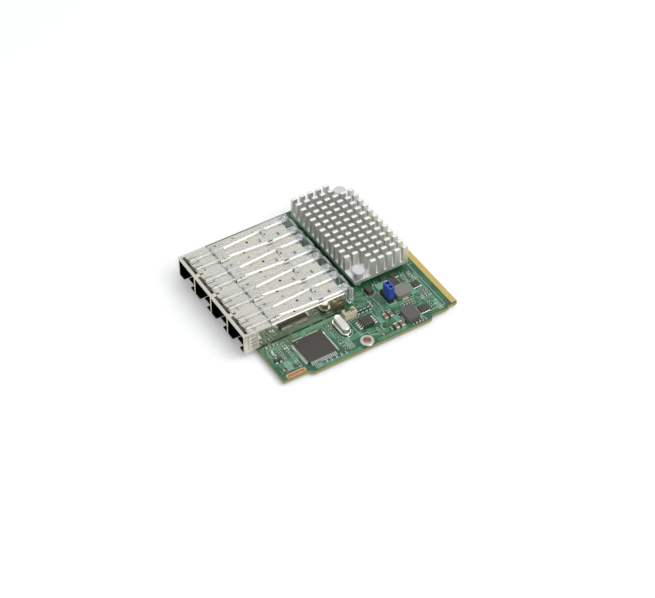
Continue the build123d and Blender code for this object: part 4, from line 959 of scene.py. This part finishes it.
def part_outline(place, along, offset, length, width):
    """A rectangle on a part's long axis, that far from its middle."""
    x, y = place
    if along == "x":
        return rectangle((x + offset, y), length, width)
    return rectangle((x, y + offset), width, length)


def small_parts(kind, places, size, body_finish, body_slot):
    """Bodies and ends of one kind of small part."""
    length, width, height = size
    reach = (length - END_LENGTH) / 2
    body_size = (length - 2 * END_LENGTH, width * BODY_WIDTH_SHARE)
    bodies = [part_outline(*place, 0, *body_size) for place in places]
    ends = [part_outline(*place, side * reach, END_LENGTH, width) for place in places for side in (-1, 1)]
    body = on_board(f"{kind}_bodies", bodies, height * BODY_HEIGHT_SHARE, body_finish, body_slot)
    end = on_board(f"{kind}_ends", ends, height, tin, "lead_tin")
    for piece in (body, end):
        round_edges(piece, PART_ROUND)


draw = random.Random(5)
capacitor_places = []
resistor_places = []
empty_places = []
for start, step, count, along in PART_ROWS:
    for index in range(count):
        place = (spot(start[0] + index * step[0], start[1] + index * step[1]), along)
        chance = draw.random()
        if chance < EMPTY_SHARE:
            empty_places.append(place)
        elif chance < EMPTY_SHARE + CAPACITOR_SHARE:
            capacitor_places.append(place)
        else:
            resistor_places.append(place)
small_parts("row_capacitor", capacitor_places, CAPACITOR_SIZE, ceramic, "capacitor_ceramic")
small_parts("row_resistor", resistor_places, RESISTOR_SIZE, glaze, "resistor_glaze")
length, width = RESISTOR_SIZE[:2]
solder_reach = (length - END_LENGTH) / 2 + SOLDER_MARGIN
solder_size = (END_LENGTH + 2 * SOLDER_MARGIN, width + 2 * SOLDER_MARGIN)
filled = [part_outline(*place, side * solder_reach, *solder_size)
          for place in capacitor_places + resistor_places for side in (-1, 1)]
bare = [part_outline(*place, side * solder_reach, *solder_size)
        for place in empty_places for side in (-1, 1)]
on_board("row_solder", filled, SOLDER_HEIGHT, solder_grey, "lead_tin", SOLDER_TOP_SHARE)
on_board("empty_pads", bare, PAD_HEIGHT, tin, "lead_tin")

# %% [markdown]
# Every lead of the flat pack and the memory chip stands on a tinned pad, in rows that follow the
# leads' pitch. Regulators, diode, transistor and leadless chips sit on wider pads with a sloping rim,
# which shows as a bright line round their feet.

# %% Pads under the larger chips
PAD_INSET = 0.2
FLAT_PACK_SIDE_LEADS = 16
FLAT_PACK_PITCH = 0.8
FLAT_PACK_PAD = (0.48, 1.0)
MEMORY_SIDE_LEADS = 4
MEMORY_PITCH = 1.27
MEMORY_PAD = (0.7, 1.5)
PACKAGE_MARGIN = 0.3
DIODE_PAD = (1.8, 2.2)
TRANSISTOR_PAD = (1.0, 0.8)
PACKAGE_PAD_HEIGHT = 0.08
PACKAGE_PAD_TOP_SHARE = 0.94


def lead_pads(node, count, pitch, pad, sides):
    """Pads in rows along the sides of a leaded chip, under the feet of its leads."""
    low, high = extent(node)
    width, length = pad
    middle_x, middle_y = middle_of(node)
    outlines = []
    for index in range(count):
        along = (index - (count - 1) / 2) * pitch
        if "y" in sides:
            for y in (low[1] + PAD_INSET, high[1] - PAD_INSET):
                outlines.append(rectangle((middle_x + along, y), width, length))
        if "x" in sides:
            for x in (low[0] + PAD_INSET, high[0] - PAD_INSET):
                outlines.append(rectangle((x, middle_y + along), length, width))
    return outlines


pads = lead_pads("flat_pack_leads", FLAT_PACK_SIDE_LEADS, FLAT_PACK_PITCH, FLAT_PACK_PAD, "xy")
pads += lead_pads("memory_leads", MEMORY_SIDE_LEADS, MEMORY_PITCH, MEMORY_PAD, "y")
on_board("chip_pads", pads, PAD_HEIGHT, tin, "lead_tin")


def body_pad(node, margin):
    """One wide pad under a whole package, seen as a bright line round its foot."""
    low, high = extent(node)
    return rectangle(middle_of(node), high[0] - low[0] + 2 * margin, high[1] - low[1] + 2 * margin)


LEADLESS_PADS = [((-6.9, 73.6), 3.1, 3.9), ((-7.0, 68.4), 2.7, 2.7)]
package_pads = [body_pad(name, PACKAGE_MARGIN) for name in ("regulator_a", "regulator_b", "regulator_c")]
package_pads += [rectangle(spot(*place), width, depth) for place, width, depth in LEADLESS_PADS]
diode_low, diode_high = extent("diode")
diode_y = middle_of("diode")[1]
package_pads += [rectangle((x, diode_y), *DIODE_PAD) for x in (diode_low[0], diode_high[0])]
leads_low, leads_high = extent("transistor_leads")
lead_places = [(leads_high[0], leads_low[1] + PAD_INSET), (leads_high[0], leads_high[1] - PAD_INSET),
               (leads_low[0], middle_of("transistor_leads")[1])]
package_pads += [rectangle(place, *TRANSISTOR_PAD) for place in lead_places]
on_board("package_pads", package_pads, PACKAGE_PAD_HEIGHT, tin, "lead_tin", PACKAGE_PAD_TOP_SHARE)

# %% [markdown]
# White ink outlines the larger parts, frames groups of them and draws a line before the contact
# edge. Short ticks beside the small parts and close hatches on the free board are ink too. All of it
# is narrow strips along short routes, screened in one pass, so it is one piece.

# %% Printed outlines
INK_WIDTH = 0.15
INK_HEIGHT = 0.035
OUTLINE_GAP = 0.6
TICK_REACH = 0.62
TICK_HALF = 0.35
OVAL_STEPS = 12
EDGE_LINE_BEFORE = 2.8
EDGE_LINE_INSETS = (1.5, 4.3)


def box_lines(low, high):
    """The four strips of a printed rectangle."""
    corners = [low, (high[0], low[1]), high, (low[0], high[1])]
    return [strip([corners[side], corners[(side + 1) % 4]], INK_WIDTH) for side in range(4)]


prints = []
for name in ("header_housing", "jumper_base", "diode", "inductor_1"):
    low, high = extent(name)
    prints += box_lines((low[0] - OUTLINE_GAP, low[1] - OUTLINE_GAP),
                        (high[0] + OUTLINE_GAP, high[1] + OUTLINE_GAP))
FIELD_BOXES = [((16.2, 49.6), (18.6, 53.1)), ((16.2, 50.7), (18.6, 51.9)), ((9.6, 66.6), (12.4, 73.0))]
for low, high in FIELD_BOXES:
    prints += box_lines(spot(*low), spot(*high))
OPEN_LINES = [
    [(6.4, 41.7), (16.2, 41.7), (16.2, 45.4), (18.5, 45.4), (19.5, 48.7)],
    [(6.2, 53.1), (18.5, 53.1)],
    [(-0.5, 58.4), (9.5, 58.4), (10.0, 60.5)],
    [(19.75, 83.2), (19.75, 75.8)],
]
for line in OPEN_LINES:
    prints.append(strip([spot(*point) for point in line], INK_WIDTH))
# A field of ticks is its first place, the step to the next, a count and a tick's length.
TICK_FIELDS = [
    ((15.0, 33.6), (0, 0.55), 6, 6.0),
    ((12.8, 5.2), (0, 0.5), 6, 5.4),
    ((20.9, 16.0), (0, 0.55), 6, 2.5),
    ((6.0, 79.0), (0.8, 0), 6, 0.9),
    ((8.2, 60.0), (0.7, 0), 5, 0.9),
    ((0.9, 47.5), (0, 0.9), 8, 0.7),
    ((19.2, 56.6), (0.7, 0), 5, 0.8),
    ((13.6, 80.6), (0.7, 0), 4, 0.8),
    ((-3.6, 81.8), (0.7, 0), 6, 0.8),
    ((4.6, 2.0), (0.7, 0), 6, 0.8),
    ((1.0, 61.6), (0, 0.9), 5, 0.8),
]
for start, step, count, length in TICK_FIELDS:
    for index in range(count):
        x, y = spot(start[0] + index * step[0], start[1] + index * step[1])
        end = (x, y + length) if step[0] else (x + length, y)
        prints.append(strip([(x, y), end], INK_WIDTH))
can_low, can_high = extent("crystal_can")
can_y = middle_of("crystal_can")[1]
round_half = (can_high[1] - can_low[1]) / 2 + OUTLINE_GAP
end_inset = round_half - OUTLINE_GAP
oval = []
for middle, turn in ((can_high[0] - end_inset, -90), (can_low[0] + end_inset, 90)):
    for step in range(OVAL_STEPS + 1):
        angle = math.radians(turn + step * 180 / OVAL_STEPS)
        oval.append((middle + round_half * math.cos(angle), can_y + round_half * math.sin(angle)))
for index, point in enumerate(oval):
    prints.append(strip([oval[index - 1], point], INK_WIDTH))
edge_line_y = contacts_low[1] - EDGE_LINE_BEFORE
edge_line_x = (sink_high[0] - EDGE_LINE_INSETS[0], board_high[0] - EDGE_LINE_INSETS[1])
prints.append(strip([(x, edge_line_y) for x in edge_line_x], INK_WIDTH))
for (x, y), along in capacitor_places:
    if along == "y":
        tick = [(x + TICK_REACH, y - TICK_HALF), (x + TICK_REACH, y + TICK_HALF)]
    else:
        tick = [(x - TICK_HALF, y + TICK_REACH), (x + TICK_HALF, y + TICK_REACH)]
    prints.append(strip(tick, INK_WIDTH))
on_board("printed_outlines", prints, INK_HEIGHT, ink, "board_laminate")

# %% [markdown]
# Between the parts run hundreds of short tracks, each from one via to another. They are laid on a
# grid by a fixed seed: a run is kept where no part stands and no other run has gone, as a router
# would do it. They are drawn wider and further apart than real ones, which would blur to a plain
# tone at this distance. Vias carry them from one copper layer to another, and each shows as a ring
# of masked copper with a darker plug. More vias are scattered in the free spaces of both faces.

# %% Short tracks and vias
SHORT_TRACK_WIDTH = 0.32
SHORT_TRACK_HEIGHT = 0.02
TRACK_GRID = 0.95
TRACK_TRIES = 900
TRACK_RUN = (2, 7)
VIA_RADIUS = 0.27
PLUG_RADIUS = 0.14
VIA_TRIES = 500
VIA_MARGIN = 0.6
LAND_HEIGHT = 0.03
PLUG_HEIGHT = 0.04
PLUG_SIDES = 8
FIELD_MARGIN = 1
FIELD_RIGHT_MARGIN = 3.5
FIELD_REAR_MARGIN = 9
EDGE_LINE_GAP = 0.7
covered = [extent(name) for name in nodes if name != "circuit_board"]
draw = random.Random(11)


def is_free(x, y, level):
    """True where no solid piece stands on that face of the board."""
    for low, high in covered:
        if all(low[axis] - VIA_MARGIN < value < high[axis] + VIA_MARGIN
               for axis, value in enumerate((x, y, level))):
            return False
    return True


field_low = (sink_high[0], board_low[1] + FIELD_MARGIN)
field_high = (board_high[0] - FIELD_RIGHT_MARGIN, edge_line_y - EDGE_LINE_GAP)
field_cells = [round((field_high[axis] - field_low[axis]) / TRACK_GRID) for axis in (0, 1)]
taken = set()
runs = []
for attempt in range(TRACK_TRIES):
    column, row = (draw.randrange(count) for count in field_cells)
    step = draw.choice([(1, 0), (0, 1)])
    run_length = draw.randint(*TRACK_RUN)
    cells = [(column + index * step[0], row + index * step[1]) for index in range(run_length)]
    places = [(field_low[0] + x * TRACK_GRID, field_low[1] + y * TRACK_GRID) for x, y in cells]
    inside = cells[-1][0] < field_cells[0] and cells[-1][1] < field_cells[1]
    if inside and not taken.intersection(cells) and all(is_free(*place, BOARD_TOP) for place in places):
        taken.update(cells)
        runs.append((places[0], places[-1]))
short_tracks = [strip(run, SHORT_TRACK_WIDTH) for run in runs]
on_board("short_tracks", short_tracks, SHORT_TRACK_HEIGHT, track_mask, "board_laminate")

top_vias = [tuple(place) for place in track_ends]
top_vias += [place for run in runs for place in run]
bottom_vias = []
for attempt in range(VIA_TRIES):
    x = draw.uniform(board_low[0] + FIELD_MARGIN, board_high[0] - FIELD_RIGHT_MARGIN)
    y = draw.uniform(board_low[1] + FIELD_MARGIN, board_high[1] - FIELD_REAR_MARGIN)
    if is_free(x, y, BOARD_TOP):
        top_vias.append((x, y))
    if is_free(x, y, BOARD_BOTTOM):
        bottom_vias.append((x, y))
for face, vias, level, way in (("top", top_vias, BOARD_TOP, 1),
                               ("bottom", bottom_vias, BOARD_BOTTOM, -1)):
    land = sorted((level, level + way * LAND_HEIGHT))
    plug = sorted((level, level + way * PLUG_HEIGHT))
    lands = [disc(place, VIA_RADIUS) for place in vias]
    plugs = [disc(place, PLUG_RADIUS, PLUG_SIDES) for place in vias]
    prisms(f"via_lands_{face}", lands, *land, track_mask, "board_laminate")
    prisms(f"via_plugs_{face}", plugs, *plug, dark_mask_and_painted_shade, "board_laminate")

# %% [markdown]
# Bare copper shows in three places: two round alignment marks that a placing machine looks for, and
# the test strip at the front corner, which has a row of dark red dots where its holes are filled.

# %% Alignment marks and the dots of the test strip
MARKS = [(16.6, 3.4), (21.1, 50.4)]
MARK_RADIUS = 0.55
MARK_CLEAR = 1.1
MARK_SIDES = 24
MARK_HEIGHT = 0.04
CLEARING_HEIGHT = 0.01
DOT_COUNT = 7
DOT_RADIUS = 0.42
DOT_SIDES = 16
DOT_HEIGHT = 0.03


def red_fill():
    """Copper oxide in a filled hole: dark red and dull."""
    return plain_finish("copper_oxide_filled", 0.3, ("#7c2c1b", "#963a26"), (0.5, 0.65), 0.01)


marks = [spot(*place) for place in MARKS]
clearings = [disc(place, MARK_CLEAR, MARK_SIDES) for place in marks]
on_board("alignment_clearings", clearings, CLEARING_HEIGHT, dark_mask_and_painted_shade, "board_laminate")
mark_discs = [disc(place, MARK_RADIUS, MARK_SIDES) for place in marks]
on_board("alignment_marks", mark_discs, MARK_HEIGHT, copper, "bare_copper")
strip_low, strip_high = extent("test_strip")
dot_x = middle_of("test_strip")[0]
dot_pitch = (strip_high[1] - strip_low[1]) / (DOT_COUNT + 1)
dots = [disc((dot_x, strip_low[1] + (index + 1) * dot_pitch), DOT_RADIUS, DOT_SIDES)
        for index in range(DOT_COUNT)]
prisms("test_strip_dots", dots, strip_high[2], strip_high[2] + DOT_HEIGHT, red_fill(), "bare_copper")

# %% [markdown]
# A push pin holds the heat sink down through a coil spring of round wire. The solid stands in for it
# with a square section. Here the coil is a curve wound by a formula, with its last turns flat as a
# real compression spring has them, and it takes the solid's place.

# %% Round-wire springs under the push pins
SPRING_WIRE = 0.5
SPRING_TURNS = 3.5
POINTS_PER_TURN = 16
FLAT_SHARE = 0.14
WIRE_STEPS = 3
CURVE_ORDER = 3

for number in (1, 2):
    spring_low, spring_high = extent(f"push_spring_{number}")
    middle_x, middle_y = middle_of(f"push_pin_{number}")
    radius = (spring_high[1] - spring_low[1] - SPRING_WIRE) / 2
    bottom = spring_low[2] + SPRING_WIRE / 2
    rise = spring_high[2] - spring_low[2] - SPRING_WIRE
    count = round(SPRING_TURNS * POINTS_PER_TURN)
    coil = bpy.data.curves.new(f"coil_spring_{number}", "CURVE")
    coil.dimensions = "3D"
    coil.bevel_depth = SPRING_WIRE / 2 * MM
    coil.bevel_resolution = WIRE_STEPS
    coil.use_fill_caps = True
    line = coil.splines.new("NURBS")
    line.points.add(count)
    for index, point in enumerate(line.points):
        turn = 2 * math.pi * index / POINTS_PER_TURN
        share = min(max((index / count - FLAT_SHARE) / (1 - 2 * FLAT_SHARE), 0), 1)
        point.co = ((middle_x + radius * math.cos(turn)) * MM, (middle_y + radius * math.sin(turn)) * MM,
                    (bottom + rise * share) * MM, 1)
    line.order_u = CURVE_ORDER
    line.use_endpoint_u = True
    coil.materials.append(wire)
    spring = bpy.data.objects.new(f"coil_spring_{number}", coil)
    bpy.context.scene.collection.objects.link(spring)
    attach(spring, "root")
    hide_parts(f"push_spring_{number}")
print("springs wound with", SPRING_TURNS, "turns")

# %% [markdown]
# Where the cage's tails and the jumper's pins come out under the board, solder has wicked round them
# in small cones. They are the same prisms, drawn in towards their tips.

# %% Solder under the board
TAIL_STATIONS = (12.0, 22.7, 33.0, 39.7)
CONE_RADIUS = 0.85
CONE_HEIGHT = 0.55
CONE_TIP_SHARE = 0.55
WALL_HALF = 0.125
wall_lines = [cage_low[0] + WALL_HALF, cage_high[0] - WALL_HALF]
wall_lines += [middle_of(name)[0] for name in DIVIDERS]
joints = [(x, COLLAR_FRONT + station) for x in wall_lines for station in TAIL_STATIONS]
pins_low, pins_high = extent("jumper_pins")
pins_x, pins_y = middle_of("jumper_pins")
pin_half = (pins_high[1] - pins_low[1]) / 2
joints += [(x, pins_y) for x in (pins_low[0] + pin_half, pins_x, pins_high[0] - pin_half)]
cones = [disc(place, CONE_RADIUS) for place in joints]
prisms("solder_cones", cones, BOARD_BOTTOM - CONE_HEIGHT, BOARD_BOTTOM, tin, "lead_tin", CONE_TIP_SHARE)

# %% [markdown]
# On top, a reddish ring of copper shows round each tail of the side walls where it goes into the
# board. It is the pad's rim that the soldering heat has coloured.

# %% Copper rings round the tails
RING_RADIUS = 0.6
RING_SIDES = 18
RING_HEIGHT = 0.03


def reddened_copper():
    """A copper pad heated by soldering: brown-red and satin."""
    return plain_finish("copper_pad_reddened", 0.4, ("#7d5540", "#9a7056"), (0.45, 0.6), metallic=0.3)


side_wall_joints = joints[:2 * len(TAIL_STATIONS)]
rings = [disc(place, RING_RADIUS, RING_SIDES) for place in side_wall_joints]
on_board("tail_rings", rings, RING_HEIGHT, reddened_copper(), "bare_copper")

# %% [markdown]
# A dot moulded in the corner of a chip shows where its first lead is. It is a shallow disc, a shade
# glossier than the body. The list gives how far in from the corner it lies, and its radius.

# %% Dots for the first lead
FIRST_LEADS = [
    ("flat_pack", 1.6, 0.55),
    ("memory_chip", 0.9, 0.35),
    ("regulator_a", 0.7, 0.22),
    ("regulator_b", 0.6, 0.2),
    ("regulator_c", 0.7, 0.22),
]
FIRST_LEAD_SIDES = 20
FIRST_LEAD_HEIGHT = 0.01


def polished_epoxy():
    """The floor of an ejector mark in moulded epoxy: the same charcoal, smoother."""
    return plain_finish("epoxy_moulded_smooth", 0.3, ("#5a564f", "#67635b"), (0.3, 0.4))


smooth_epoxy = polished_epoxy()
for name, inset, radius in FIRST_LEADS:
    low, high = extent(name)
    dot = disc((low[0] + inset, low[1] + inset), radius, FIRST_LEAD_SIDES)
    prisms(f"first_lead_dot_{name}", [dot], high[2], high[2] + FIRST_LEAD_HEIGHT, smooth_epoxy, "chip_epoxy")

# %% [markdown]
# Last, the box of the dressed card is measured. It has to agree with the box of the solids as they
# came, because the finish may not change what the card measures.

# %% Size and finish
low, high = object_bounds()
